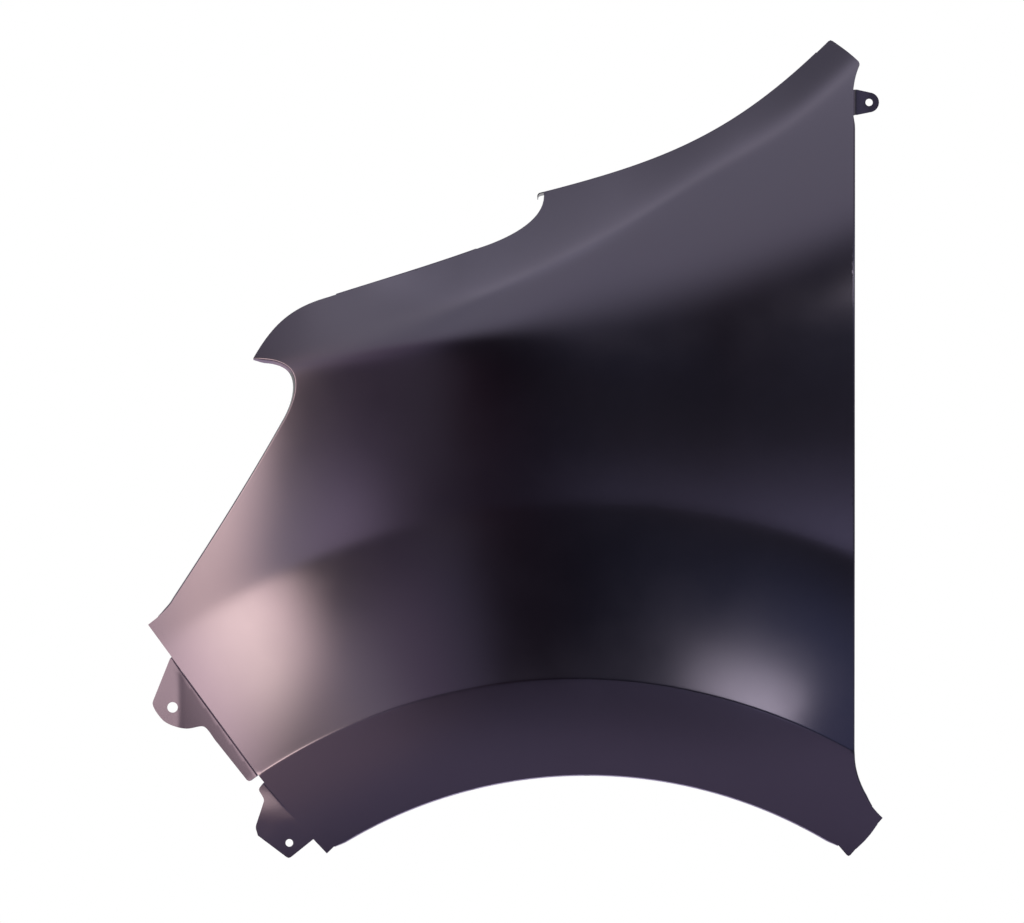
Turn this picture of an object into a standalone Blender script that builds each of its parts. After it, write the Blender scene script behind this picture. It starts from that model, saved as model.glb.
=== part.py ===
"""Left front fender of a van, one pressing of thin sheet steel.

The drawing's zero is the wheel centre: X runs rearward, Y inboard and Z up, in metres. The outside skin
is a trimmed sheet lifted by one depth rule (a crowned side that turns in towards the lamp, a shoulder
that leans in below the windscreen, and a flare that swells out over the wheel). Flanges, ledges and
tabs are then turned from its edges, the sheet gets its thickness, and the holes are pierced last.
"""
import math

import bmesh
import bpy
from mathutils import Matrix, Vector
from mathutils.geometry import delaunay_2d_cdt, interpolate_bezier

# Sheet
SHEET = 0.0008
BEND_RADIUS = 0.0015

# Wheel arch: its edge, the crease and the top of the flare are rings about the wheel centre
ARCH_RADIUS = 0.4102
CREASE_RADIUS = 0.4930
FLARE_RADIUS = 0.6400
ARCH_FRONT_X = -0.2186
ARCH_REAR_X = 0.2174
CREASE_SOFT = 0.0015

# Slopes of the flare: at its top, and at the crease beside the lamp, over the wheel and beside the door
FLARE_ONSET_SLOPE = 0.100
FLARE_ONSET_SOFT = 0.008
FLARE_SLOPE_FRONT = 0.415
FLARE_SLOPE_CROWN = 0.370
FLARE_SLOPE_REAR = 0.430
FLARE_REAR_SHARE = 0.8
LIP_SLOPE = -0.050

# Side of the body, its turn in plan towards the lamp and its slower turn towards the door
CROWN_HEIGHT = 0.650
CROWN_RADIUS = 1.650
TURN_START = -0.055
TURN_RADIUS = 0.600
TURN_SOFT = 0.195
REAR_TURN_START = -0.020
REAR_TURN_RADIUS = 4.300
REAR_TURN_SOFT = 0.080

# Shoulder and ridge: two soft folds above the side
SHOULDER_LEAN = math.radians(28.5)
SHOULDER_SOFT_FRONT = 0.008
SHOULDER_SOFT_REAR = 0.064
SHOULDER_SOFT_SPAN = (-0.150, 0.120)
SHOULDER_LINE = [(-0.420, 0.735), (-0.248, 0.766), (-0.110, 0.787), (0.028, 0.808), (0.132, 0.842),
                 (0.300, 0.910)]
RIDGE_LEAN = math.radians(12.0)
RIDGE_SOFT = 0.010
RIDGE_FADE = (-0.250, -0.110)
RIDGE_LINE = [(-0.420, 0.730), (-0.162, 0.803), (-0.075, 0.830), (0.011, 0.871), (0.098, 0.928),
              (0.184, 0.984), (0.300, 1.095)]

# Corners of the skin, (x, z)
NOTCH_TOP = (-0.0375, 0.9128)
TIP = (0.2105, 1.0452)
TIP_SIDE = (0.2362, 1.0252)
DOOR_TOP = (0.2302, 1.0035)
DOOR_X = 0.2303
DOOR_BOTTOM_Z = 0.4260
SILL_CORNER = (0.2558, 0.3716)
ARCH_REAR_CORNER = (0.2263, 0.3376)
ARCH_FRONT_CORNER = (-0.2251, 0.3409)
BUMPER_LOW = (-0.2368, 0.3532)
BUMPER_FADE = (-0.2483, 0.3663)
BUMPER_STEP = (-0.2793, 0.4023)
BUMPER_NOTCH = (-0.2844, 0.4087)
FRONT_CORNER = (-0.3797, 0.5387)
LAMP_FOOT = (-0.3572, 0.5612)
LAMP_TOP = (-0.2610, 0.7170)
BEAK = (-0.2886, 0.7694)
BONNET_FRONT = (-0.2238, 0.8222)
BONNET_REAR = (-0.0924, 0.8650)
TIP_ROUND = 0.0024

# Handles of the curved edges between the corners
WINDSCREEN_HANDLES = ((0.0697, 0.9403), (0.1286, 0.9645))
TIP_HANDLES = ((0.2190, 1.0392), (0.2270, 1.0337))
TIP_SIDE_HANDLES = ((0.2322, 1.0150), (0.2312, 1.0090))
DOOR_FOOT_HANDLES = ((0.2303, 0.4068), (0.2410, 0.3851))
LAMP_FOOT_HANDLES = ((-0.3715, 0.5452), (-0.3623, 0.5517))
LAMP_HANDLES = ((-0.3236, 0.6120), (-0.2911, 0.6635))
LAMP_NOTCH_HANDLES = ((-0.2455, 0.7456), (-0.2462, 0.7720))
BEAK_HANDLES = ((-0.2717, 0.7987), (-0.2562, 0.8131))
BONNET_HANDLES = ((-0.1799, 0.8363), (-0.1357, 0.8493))
NOTCH_HANDLES = ((-0.0738, 0.8711), (-0.0339, 0.8873))

# Flanges are set back from the corners where their bends would meet, with chamfered ends
END_CHAMFER = 0.008
DOOR_SETBACK = 0.012
SILL_SETBACK = (0.007, 0.005)
LAMP_SETBACK = 0.012
LEDGE_SETBACK = 0.014
RAIL_SETBACK = (0.004, 0.002)

# Wheel arch flange
ARCH_FLANGE = 0.018
ARCH_DRAFT = math.radians(3.0)
LINER_HOLE = 0.0055
LINER_HOLE_SHARE = 0.6
LINER_HOLE_ANGLES = [math.radians(a) for a in (-27.0, -14.0, 0.0, 14.0, 27.0)]

# Door edge flange and its two slots
DOOR_FLANGE = 0.024
DOOR_SLOT = (0.0070, 0.0120)
DOOR_SLOT_HEIGHTS = [0.500, 0.720]
DOOR_SLOT_SHARE = 0.58
SILL_FLANGE = 0.018
SILL_HOLE = 0.0070
SILL_HOLE_SHARE = 0.6

# Ear on the hinge pillar
EAR_TOP = 1.0015
EAR_BOTTOM = 0.9795
EAR_DEPTH = 0.016
EAR_RELIEF = 0.001
EAR_HOLE = 0.0063
EAR_HOLE_REACH = 0.0137
EAR_END_RADIUS = 0.0086
EAR_END_ANGLE = math.radians(80.0)
EAR_MIDDLE = (EAR_TOP + EAR_BOTTOM) / 2.0
ORIGIN_REACH = 0.0065

# Ledge under the windscreen edge and the hook at its front end
LEDGE_WIDTH = 0.022
LEDGE_DROP = math.radians(6.0)
HOOK_REACH = 0.0062
HOOK_DROP = 0.0038

# Rail under the bonnet edge
RAIL_WALL = 0.016
RAIL_WIDTH = 0.022
RAIL_SLOT = (0.0070, 0.0130)
RAIL_SLOT_SHARES = (0.27, 0.75)
RAIL_SLOT_ACROSS = 0.62
WALL_LEAN = 0.25
PUNCH_LENGTH = 0.020

# Lamp flange
LAMP_FLANGE = 0.012
LAMP_DRAFT = math.radians(2.0)
BEAK_DRAFT = math.radians(14.0)

# Stepped flange along the bumper, with its two tabs
STEP_DEPTH = 0.0030
STEP_ANGLE = math.radians(82.0)
STEP_RADIUS = 0.0011
STEP_FADE = 0.040
STRIP_LEAN = math.radians(9.0)
STRIP_WIDTH = 0.0104
UPPER_RUN = 0.1265
UPPER_HOLE = (-0.3585, 0.4672)
UPPER_HOLE_SIZE = 0.0091
UPPER_BEND = 0.0055
UPPER_BEND_SOFT = 0.0045
UPPER_TURN = -0.16
LOWER_HOLE = (-0.2575, 0.3500)
LOWER_HOLE_SIZE = 0.0066
LOWER_PAD = 0.0125
LOWER_PAD_BLEND = 0.0260

# Outer edges of the tabs, from their holes
UPPER_NOSE = (-0.0170, 0.0053)
UPPER_CHIN = (-0.0085, -0.0110)
UPPER_HEEL = (0.0104, -0.0183)
UPPER_NECK = (0.0251, -0.0163)
UPPER_STRIP = (0.0367, -0.0282)
UPPER_NOSE_HANDLES = ((-0.0188, 0.0015), (-0.0125, -0.0068))
UPPER_CHIN_HANDLES = ((-0.0050, -0.0145), (0.0040, -0.0178))
UPPER_HEEL_HANDLES = ((0.0150, -0.0190), (0.0200, -0.0166))
UPPER_NECK_HANDLES = ((0.0290, -0.0160), (0.0320, -0.0215))
LOWER_CORNERS = [(-0.0269, 0.0463), (-0.0215, 0.0374), (-0.0294, 0.0136), (-0.0272, 0.0063),
                 (-0.0005, -0.0138)]
LOWER_ROUND = 0.0020

# Mesh spacing
EDGE_SPACING = 0.0120
BOW_SPACING = 0.0065
TAB_SPACING = 0.0035
RING_SPACING = 0.0145
RING_GROWTH = 1.6
RING_REACH = 0.75
GRID_SPACING = 0.0165
ROW_SHARE = math.sqrt(0.75)
PROBE = 0.0005
BEND_STEPS = 3
INBOARD = Vector((0.0, 1.0, 0.0))
REARWARD = Vector((1.0, 0.0, 0.0))


def smooth(value, low, high):
    """Ease from 0 at low to 1 at high."""
    t = min(max((value - low) / (high - low), 0.0), 1.0)
    return t * t * (3.0 - 2.0 * t)


def fold(distance, softness):
    """Ramp of slope 1 past a fold line, rounded over its softness."""
    return 0.5 * (distance + math.sqrt(distance * distance + softness * softness))


def line_height(line, x):
    """Height at x of a smooth line through a few points."""
    last = len(line) - 2
    i = next((k for k in range(last) if x < line[k + 1][0]), last)
    before = line[max(i - 1, 0)]
    after = line[min(i + 2, last + 1)]
    (xa, za), (xb, zb) = line[i], line[i + 1]
    slope_a = (zb - before[1]) / (xb - before[0])
    slope_b = (after[1] - za) / (after[0] - xa)
    span = xb - xa
    t = (x - xa) / span
    return ((2 * t**3 - 3 * t**2 + 1) * za + (t**3 - 2 * t**2 + t) * span * slope_a
            + (3 * t**2 - 2 * t**3) * zb + (t**3 - t**2) * span * slope_b)


def flare_slope(angle):
    """Slope of the flare at the crease, from the lamp side over the wheel to the door."""
    front = smooth(angle, 0.0, math.asin(ARCH_FRONT_X / ARCH_RADIUS))
    rear = smooth(angle, 0.0, math.asin(ARCH_REAR_X / ARCH_RADIUS) * FLARE_REAR_SHARE)
    slope = FLARE_SLOPE_CROWN + (FLARE_SLOPE_FRONT - FLARE_SLOPE_CROWN) * front
    return slope + (FLARE_SLOPE_REAR - FLARE_SLOPE_CROWN) * rear


def flare_swell(x, z):
    """How far the flare stands out of the side: its slope grows inward from the onset to the crease."""
    radius = math.hypot(x, z)
    slope = flare_slope(math.atan2(x, z))
    growth = (slope - FLARE_ONSET_SLOPE) / (2.0 * (FLARE_RADIUS - CREASE_RADIUS))
    rise = fold(FLARE_RADIUS - radius, FLARE_ONSET_SOFT)
    inside = fold(CREASE_RADIUS - radius, CREASE_SOFT)
    lip = (slope + LIP_SLOPE) * inside + growth * inside ** 2
    return FLARE_ONSET_SLOPE * rise + growth * rise ** 2 - lip


def skin_depth(x, z):
    """Y of the outside of the skin: the form that the press gives the blank."""
    crown = (z - CROWN_HEIGHT) ** 2 / (2.0 * CROWN_RADIUS)
    run = fold(TURN_START - x, TURN_SOFT)
    turn = TURN_RADIUS - math.sqrt(max(TURN_RADIUS ** 2 - run ** 2, 1e-6))
    rear_turn = fold(x - REAR_TURN_START, REAR_TURN_SOFT) ** 2 / (2.0 * REAR_TURN_RADIUS)
    share = smooth(x, *SHOULDER_SOFT_SPAN)
    softness = SHOULDER_SOFT_FRONT + (SHOULDER_SOFT_REAR - SHOULDER_SOFT_FRONT) * share
    shoulder = math.tan(SHOULDER_LEAN) * fold(z - line_height(SHOULDER_LINE, x), softness)
    ridge_turn = math.tan(SHOULDER_LEAN + RIDGE_LEAN) - math.tan(SHOULDER_LEAN)
    ridge = ridge_turn * smooth(x, *RIDGE_FADE) * fold(z - line_height(RIDGE_LINE, x), RIDGE_SOFT)
    return crown + turn + rear_turn + shoulder + ridge - flare_swell(x, z)


def slopes(depth, x, z):
    """Slopes of a depth rule along X and along Z."""
    along_x = (depth(x + PROBE, z) - depth(x - PROBE, z)) / (2.0 * PROBE)
    along_z = (depth(x, z + PROBE) - depth(x, z - PROBE)) / (2.0 * PROBE)
    return along_x, along_z


def skin_normal(x, z):
    """Outward unit normal of the skin."""
    along_x, along_z = slopes(skin_depth, x, z)
    return Vector((along_x, -1.0, along_z)).normalized()


def toward(start, end, distance):
    """The point at a distance from start on the way to end."""
    a, b = Vector(start), Vector(end)
    return tuple(a + (b - a).normalized() * distance)


def curve(start, handle_a, handle_b, end, count=160):
    """Points of a Bezier curve in the drawing plane."""
    return interpolate_bezier(Vector(start), Vector(handle_a), Vector(handle_b), Vector(end), count)


def straight(start, end):
    """A straight stretch, finely divided."""
    return [Vector(start).lerp(Vector(end), i / 160.0) for i in range(161)]


def arc(radius, angle_a, angle_b):
    """An arc about the wheel centre; angles are from straight up, positive rearward."""
    turns = [angle_a + (angle_b - angle_a) * i / 200.0 for i in range(201)]
    return [Vector((radius * math.sin(a), radius * math.cos(a))) for a in turns]


def rounding(before, corner, after):
    """A small round from one point to another over a sharp corner."""
    return curve(before, Vector(before).lerp(Vector(corner), 0.6), Vector(after).lerp(Vector(corner), 0.6),
                 after, 9)


def local_spacing(point, spacing):
    """Finer columns where the crease and the ridge run out at an edge."""
    x, z = point
    near_crease = abs(math.hypot(x, z) - CREASE_RADIUS) < 2.0 * CREASE_SOFT
    near_ridge = abs(z - line_height(RIDGE_LINE, x)) < RIDGE_SOFT
    return min(spacing, EDGE_SPACING / 3.0) if near_crease or near_ridge else spacing


def resample(points, spacing):
    """Respace a fine stretch to the local spacing, keeping both ends."""
    weights = [0.0]
    for a, b in zip(points, points[1:]):
        weights.append(weights[-1] + (b - a).length / local_spacing((a + b) / 2.0, spacing))
    count = max(1, math.ceil(weights[-1]))
    result = []
    k = 0
    for i in range(count + 1):
        target = weights[-1] * i / count
        while k < len(points) - 2 and weights[k + 1] < target:
            k += 1
        share = (target - weights[k]) / max(weights[k + 1] - weights[k], 1e-9)
        result.append(points[k].lerp(points[k + 1], min(share, 1.0)))
    return result


def outline():
    """The skin's edge as named stretches, clockwise as seen from outside."""
    tip_a = toward(TIP, WINDSCREEN_HANDLES[1], TIP_ROUND)
    tip_b = toward(TIP, TIP_SIDE, TIP_ROUND)
    side_a = toward(TIP_SIDE, TIP, TIP_ROUND)
    side_b = toward(TIP_SIDE, DOOR_TOP, TIP_ROUND)
    sill_end = toward(ARCH_REAR_CORNER, SILL_CORNER, TIP_ROUND)
    arch = arc(ARCH_RADIUS, math.asin(ARCH_REAR_X / ARCH_RADIUS), math.asin(ARCH_FRONT_X / ARCH_RADIUS))
    arch_round = toward(ARCH_REAR_CORNER, arch[0], TIP_ROUND)
    tab_start = toward(BUMPER_NOTCH, FRONT_CORNER, UPPER_RUN)
    ear_top = (DOOR_X, EAR_TOP)
    ear_bottom = (DOOR_X, EAR_BOTTOM)
    door_start = (DOOR_X, EAR_BOTTOM - EAR_RELIEF)
    door_end = (DOOR_X, DOOR_BOTTOM_Z)
    stretches = {
        "windscreen": (curve(NOTCH_TOP, *WINDSCREEN_HANDLES, tip_a), EDGE_SPACING),
        "tip_round": (rounding(tip_a, TIP, tip_b), TAB_SPACING),
        "tip_end": (curve(tip_b, *TIP_HANDLES, side_a), BOW_SPACING),
        "side_round": (rounding(side_a, TIP_SIDE, side_b), TAB_SPACING),
        "tip_side": (curve(side_b, *TIP_SIDE_HANDLES, ear_top), BOW_SPACING),
        "ear_root": (straight(ear_top, ear_bottom), BOW_SPACING),
        "ear_relief": (straight(ear_bottom, door_start), EDGE_SPACING),
        "door": (straight(door_start, door_end), EDGE_SPACING),
        "door_foot": (curve(door_end, *DOOR_FOOT_HANDLES, SILL_CORNER), BOW_SPACING),
        "sill": (straight(SILL_CORNER, sill_end), EDGE_SPACING),
        "sill_round": (rounding(sill_end, ARCH_REAR_CORNER, arch_round), TAB_SPACING),
        "arch_rear_end": (straight(arch_round, arch[0]), EDGE_SPACING),
        "arch": (arch, EDGE_SPACING),
        "arch_front_end": (straight(arch[-1], ARCH_FRONT_CORNER), EDGE_SPACING),
        "arch_front": (straight(ARCH_FRONT_CORNER, BUMPER_LOW), EDGE_SPACING),
        "tab_root": (straight(BUMPER_LOW, BUMPER_FADE), BOW_SPACING),
        "lower_step": (straight(BUMPER_FADE, BUMPER_STEP), BOW_SPACING),
        "step_relief": (straight(BUMPER_STEP, BUMPER_NOTCH), EDGE_SPACING),
        "bumper": (straight(BUMPER_NOTCH, tab_start), BOW_SPACING),
        "bumper_bare": (straight(tab_start, FRONT_CORNER), EDGE_SPACING),
        "lamp_foot": (curve(FRONT_CORNER, *LAMP_FOOT_HANDLES, LAMP_FOOT), BOW_SPACING),
        "lamp": (curve(LAMP_FOOT, *LAMP_HANDLES, LAMP_TOP), EDGE_SPACING),
        "lamp_notch": (curve(LAMP_TOP, *LAMP_NOTCH_HANDLES, BEAK), BOW_SPACING),
        "beak": (curve(BEAK, *BEAK_HANDLES, BONNET_FRONT), BOW_SPACING),
        "bonnet": (curve(BONNET_FRONT, *BONNET_HANDLES, BONNET_REAR), EDGE_SPACING),
        "notch": (curve(BONNET_REAR, *NOTCH_HANDLES, NOTCH_TOP), BOW_SPACING),
    }
    return {name: resample(points, spacing) for name, (points, spacing) in stretches.items()}


def ring_radii():
    """Radii of the interior rings: close at the crease, opening out up the flare."""
    radii = []
    gap = CREASE_RADIUS - CREASE_SOFT - ARCH_RADIUS
    count = max(2, round(gap / RING_SPACING))
    radii += [ARCH_RADIUS + gap * (i + 1) / count for i in range(count)]
    radii += [CREASE_RADIUS - CREASE_SOFT * 0.4, CREASE_RADIUS + CREASE_SOFT * 0.4]
    radius = CREASE_RADIUS + CREASE_SOFT
    step = CREASE_SOFT
    while radius < FLARE_RADIUS:
        radii.append(radius)
        step = min(step * RING_GROWTH, RING_SPACING)
        radius += step
    return radii


def distance_to_edge(point, polygon):
    """Distance to a closed polygon, negative outside it."""
    inside = False
    nearest = 1.0
    px, pz = point
    for (ax, az), (bx, bz) in zip(polygon, polygon[1:] + polygon[:1]):
        if (az > pz) != (bz > pz) and px < (bx - ax) * (pz - az) / (bz - az) + ax:
            inside = not inside
        ex, ez = bx - ax, bz - az
        t = ((px - ax) * ex + (pz - az) * ez) / (ex * ex + ez * ez)
        t = min(max(t, 0.0), 1.0)
        nearest = min(nearest, math.hypot(px - ax - t * ex, pz - az - t * ez))
    return nearest if inside else -nearest


def add_row(points, edges, row, polygon, margin):
    """Keep the points of a row that lie inside, and join neighbours."""
    previous = None
    for point in row:
        if distance_to_edge(point, polygon) > margin:
            points.append(Vector(point))
            if previous is not None:
                edges.append((previous, len(points) - 1))
            previous = len(points) - 1
        else:
            previous = None


def interior(polygon):
    """Points inside the skin: rings round the wheel, rows along the ridge, and a grid above the flare."""
    points = []
    edges = []
    low = Vector((min(x for x, _ in polygon), min(z for _, z in polygon)))
    high = Vector((max(x for x, _ in polygon), max(z for _, z in polygon)))
    for k, radius in enumerate(ring_radii()):
        count = round(2.0 * RING_REACH * radius / RING_SPACING)
        angles = [RING_REACH * (2.0 * (i + 0.5 * (k % 2)) / count - 1.0) for i in range(count)]
        row = [(radius * math.sin(a), radius * math.cos(a)) for a in angles]
        add_row(points, edges, row, polygon, RING_SPACING * 0.22)
    start = RIDGE_FADE[0]
    count = round((high.x - start) / RING_SPACING)
    xs = [start + (high.x - start) * i / count for i in range(count + 1)]
    for offset in (-RIDGE_SOFT, 0.0, RIDGE_SOFT):
        row = [(x, line_height(RIDGE_LINE, x) + offset) for x in xs]
        add_row(points, edges, row, polygon, RING_SPACING * 0.3)
    for j in range(round((high.y - low.y) / (GRID_SPACING * ROW_SHARE))):
        z = low.y + j * GRID_SPACING * ROW_SHARE
        for i in range(round((high.x - low.x) / GRID_SPACING)):
            x = low.x + (i + 0.5 * (j % 2)) * GRID_SPACING
            if math.hypot(x, z) < FLARE_RADIUS + GRID_SPACING * 0.4:
                continue
            if abs(z - line_height(RIDGE_LINE, x)) < RIDGE_SOFT + GRID_SPACING * 0.5 and x > start:
                continue
            if distance_to_edge((x, z), polygon) > GRID_SPACING * 0.45:
                points.append(Vector((x, z)))
    return points, edges


def fill(bm, rim, points, edges, depth):
    """Fill a closed rim of vertices with triangles whose inner points are lifted by a depth rule."""
    flat = [Vector((v.co.x, v.co.z)) for v in rim] + points
    count = len(rim)
    borders = [(i, (i + 1) % count) for i in range(count)]
    borders += [(a + count, b + count) for a, b in edges]
    verts, _, faces, origins, _, _ = delaunay_2d_cdt(flat, borders, [list(range(count))], 1, 1e-7)
    placed = []
    for point, origin in zip(verts, origins):
        known = [i for i in origin if i < count]
        if known:
            placed.append(rim[known[0]])
        else:
            placed.append(bm.verts.new((point.x, depth(point.x, point.y), point.y)))
    for face in faces:
        bm.faces.new([placed[i] for i in face])


def edge_frames(chain):
    """For each vertex of a chain along the edge: outward in the drawing plane, and outward in the skin."""
    frames = []
    for i, vert in enumerate(chain):
        a = chain[max(i - 1, 0)].co
        b = chain[min(i + 1, len(chain) - 1)].co
        along = (b - a).normalized()
        flat = Vector((-(b.z - a.z), 0.0, b.x - a.x)).normalized()
        normal = skin_normal(vert.co.x, vert.co.z)
        across = along.cross(normal)
        if across.dot(flat) < 0.0:
            across = -across
        frames.append((flat, across.normalized()))
    return frames


def bend(point, start, end, radius, steps=BEND_STEPS):
    """Walk round a bend from one direction to another; gives the points after its first."""
    angle = start.angle(end)
    if angle < 1e-4:
        return []
    axis = start.cross(end).normalized()
    side = axis.cross(start)
    place = point.copy()
    path = []
    for k in range(steps):
        middle = angle * (k + 0.5) / steps
        chord = 2.0 * radius * math.sin(angle / steps / 2.0)
        place = place + (start * math.cos(middle) + side * math.sin(middle)) * chord
        path.append(place.copy())
    return path


def loft(bm, chain, paths):
    """Join a chain of vertices to equal paths that leave them; gives the rows of vertices."""
    rows = [list(chain)]
    for level in zip(*paths):
        rows.append([bm.verts.new(point) for point in level])
    for lower, upper in zip(rows, rows[1:]):
        for a, b, c, d in zip(lower, lower[1:], upper[1:], upper):
            bm.faces.new((a, b, c, d))
    return rows


def setback(chain, start, end):
    """The part of a chain that begins and ends at least so far from its ends."""
    lengths = [0.0]
    for a, b in zip(chain, chain[1:]):
        lengths.append(lengths[-1] + (b.co - a.co).length)
    return [v for v, s in zip(chain, lengths) if start <= s <= lengths[-1] - end]


def end_taper(chain, distance):
    """A factor along a chain that drops to a half at both ends, for chamfered flange ends."""
    lengths = [0.0]
    for a, b in zip(chain, chain[1:]):
        lengths.append(lengths[-1] + (b.co - a.co).length)
    total = lengths[-1]
    return [0.5 + 0.5 * min(1.0, min(s, total - s) / distance) for s in lengths]


def flange(bm, chain, width, drafts):
    """Turn a flange inboard along a chain; its draft leans it outward in the drawing plane."""
    paths = []
    tapers = end_taper(chain, END_CHAMFER)
    for vert, (flat, across), taper, draft in zip(chain, edge_frames(chain), tapers, drafts):
        direction = INBOARD * math.cos(draft) + flat * math.sin(draft)
        path = bend(vert.co, across, direction, BEND_RADIUS)
        path.append(path[-1] + direction * (width * taper - BEND_RADIUS))
        paths.append(path)
    return loft(bm, chain, paths)


def ledge_with_hook(bm, chain):
    """Ledge that carries the windscreen seal, with the hook at its front end."""
    paths = []
    for vert, (flat, across) in zip(chain, edge_frames(chain)):
        direction = Vector((0.0, math.cos(LEDGE_DROP), -math.sin(LEDGE_DROP)))
        path = bend(vert.co, across, direction, BEND_RADIUS)
        start = path[-1]
        path += [start + direction * LEDGE_WIDTH * share for share in (0.5, 1.0)]
        paths.append(path)
    rows = loft(bm, chain, paths)
    end = [row[0] for row in rows[BEND_STEPS:]]
    hook_paths = []
    for vert in end:
        forward = Vector((-1.0, 0.0, -0.25)).normalized()
        path = [vert.co + forward * (HOOK_REACH - 2.0 * BEND_RADIUS)]
        path += bend(path[0], forward, Vector((0.0, 0.0, -1.0)), 2.0 * BEND_RADIUS, 4)
        path.append(path[-1] - Vector((0.0, 0.0, HOOK_DROP - 2.0 * BEND_RADIUS)))
        hook_paths.append(path)
    loft(bm, end, hook_paths)


def rail_plane():
    """A point of the rail's plane and its slope dz/dx: parallel to the bonnet edge, a wall lower."""
    slope = (BONNET_REAR[1] - BONNET_FRONT[1]) / (BONNET_REAR[0] - BONNET_FRONT[0])
    return BONNET_FRONT[0], BONNET_FRONT[1] - RAIL_WALL, slope


def bonnet_rail(bm, chain):
    """Wall down from the bonnet edge, then a level ledge inboard that bolts to the inner rail."""
    x0, z0, slope = rail_plane()
    down = Vector((slope, WALL_LEAN, -1.0)).normalized()
    paths = []
    for vert, (flat, across) in zip(chain, edge_frames(chain)):
        path = bend(vert.co, across, down, BEND_RADIUS, 4)
        start = path[-1]
        angle = down.angle(INBOARD)
        drop = start.z - (z0 + (start.x - x0) * slope)
        wall = (drop - BEND_RADIUS * (1.0 - math.cos(angle))) / (-down.z + down.x * slope)
        path += [start + down * wall * 0.5, start + down * wall]
        path += bend(path[-1], down, INBOARD, BEND_RADIUS)
        foot = path[-1]
        foot.z = z0 + (foot.x - x0) * slope
        path += [foot + INBOARD * RAIL_WIDTH * 0.5, foot + INBOARD * RAIL_WIDTH]
        paths.append(path)
    return loft(bm, chain, paths)


def ear(bm, chain):
    """Wall in from the door edge, then a flat ear that reaches rearward behind the hinge pillar's skin."""
    deepest = max(v.co.y for v in chain) + EAR_DEPTH
    paths = []
    for vert, (flat, across) in zip(chain, edge_frames(chain)):
        path = bend(vert.co, across, INBOARD, BEND_RADIUS)
        start = path[-1]
        wall = deepest - BEND_RADIUS - start.y
        path += [start + INBOARD * wall * 0.5, start + INBOARD * wall]
        path += bend(path[-1], INBOARD, REARWARD, BEND_RADIUS)
        path[-1].y = deepest
        paths.append(path)
    root = loft(bm, chain, paths)[-1]
    centre = Vector((DOOR_X + EAR_HOLE_REACH, deepest, EAR_MIDDLE))
    turns = [EAR_END_ANGLE * (1.0 - i / 6.0) for i in range(13)]
    spokes = [Vector((math.cos(a), 0.0, math.sin(a))) for a in turns]
    rounded = [bm.verts.new(centre + spoke * EAR_END_RADIUS) for spoke in spokes]
    bm.faces.new(list(reversed(root)) + rounded)
    return deepest


def step_taper(z):
    """The bumper step runs at full depth and fades into the skin above the lower tab."""
    return smooth(z, BUMPER_FADE[1], BUMPER_FADE[1] + STEP_FADE)


def past_bumper_line(x, z):
    """Distance of a place beyond the line of the bumper edge, towards the front."""
    run = (Vector(FRONT_CORNER) - Vector(BUMPER_LOW)).normalized()
    return max(0.0, (z - BUMPER_LOW[1]) * run.x - (x - BUMPER_LOW[0]) * run.y)


def lower_depth(x, z):
    """Depth of the skin carried on past the bumper step."""
    return skin_depth(x, z) + STEP_DEPTH * step_taper(z)


def upper_depth(x, z):
    """The upper flange also leans inboard, away from the step."""
    return lower_depth(x, z) + math.tan(STRIP_LEAN) * past_bumper_line(x, z)


def flat_at(depth, place, turn, x, z):
    """Depth at (x, z) of the plane that touches a depth rule at a place, turned further in plan."""
    along_x, along_z = slopes(depth, *place)
    return depth(*place) + (along_x - turn) * (x - place[0]) + along_z * (z - place[1])


def upper_tab_depth(x, z):
    """The upper tab is flat in front of a soft upright bend beside its hole."""
    bend_x = UPPER_HOLE[0] + UPPER_BEND
    share = smooth(bend_x - x, -UPPER_BEND_SOFT, UPPER_BEND_SOFT)
    curved = upper_depth(x, z)
    return curved + (flat_at(upper_depth, (bend_x, UPPER_HOLE[1]), UPPER_TURN, x, z) - curved) * share


def lower_tab_depth(x, z):
    """The lower tab follows the skin, with a flat pad round its hole."""
    away = math.hypot(x - LOWER_HOLE[0], z - LOWER_HOLE[1])
    share = 1.0 - smooth(away, LOWER_PAD, LOWER_PAD_BLEND)
    curved = lower_depth(x, z)
    return curved + (flat_at(lower_depth, LOWER_HOLE, 0.0, x, z) - curved) * share


def step_down(bm, chain):
    """Step inboard from the bumper edge; gives the row where the outer flange begins."""
    paths = []
    for vert, (flat, across) in zip(chain, edge_frames(chain)):
        depth = STEP_DEPTH * step_taper(vert.co.z)
        corner = 2.0 * STEP_RADIUS * (1.0 - math.cos(STEP_ANGLE))
        angle = STEP_ANGLE if depth > corner else math.acos(1.0 - depth / (2.0 * STEP_RADIUS))
        wall = max(depth - corner, 0.0) / math.sin(STEP_ANGLE)
        inward = -skin_normal(vert.co.x, vert.co.z)
        direction = across * math.cos(angle) + inward * math.sin(angle)
        path = bend(vert.co, across, direction, STEP_RADIUS) or [vert.co.copy()] * BEND_STEPS
        path.append(path[-1] + direction * wall)
        path += bend(path[-1], direction, across, STEP_RADIUS) or [vert.co.copy()] * BEND_STEPS
        paths.append(path)
    return loft(bm, chain, paths)[-1]


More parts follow.
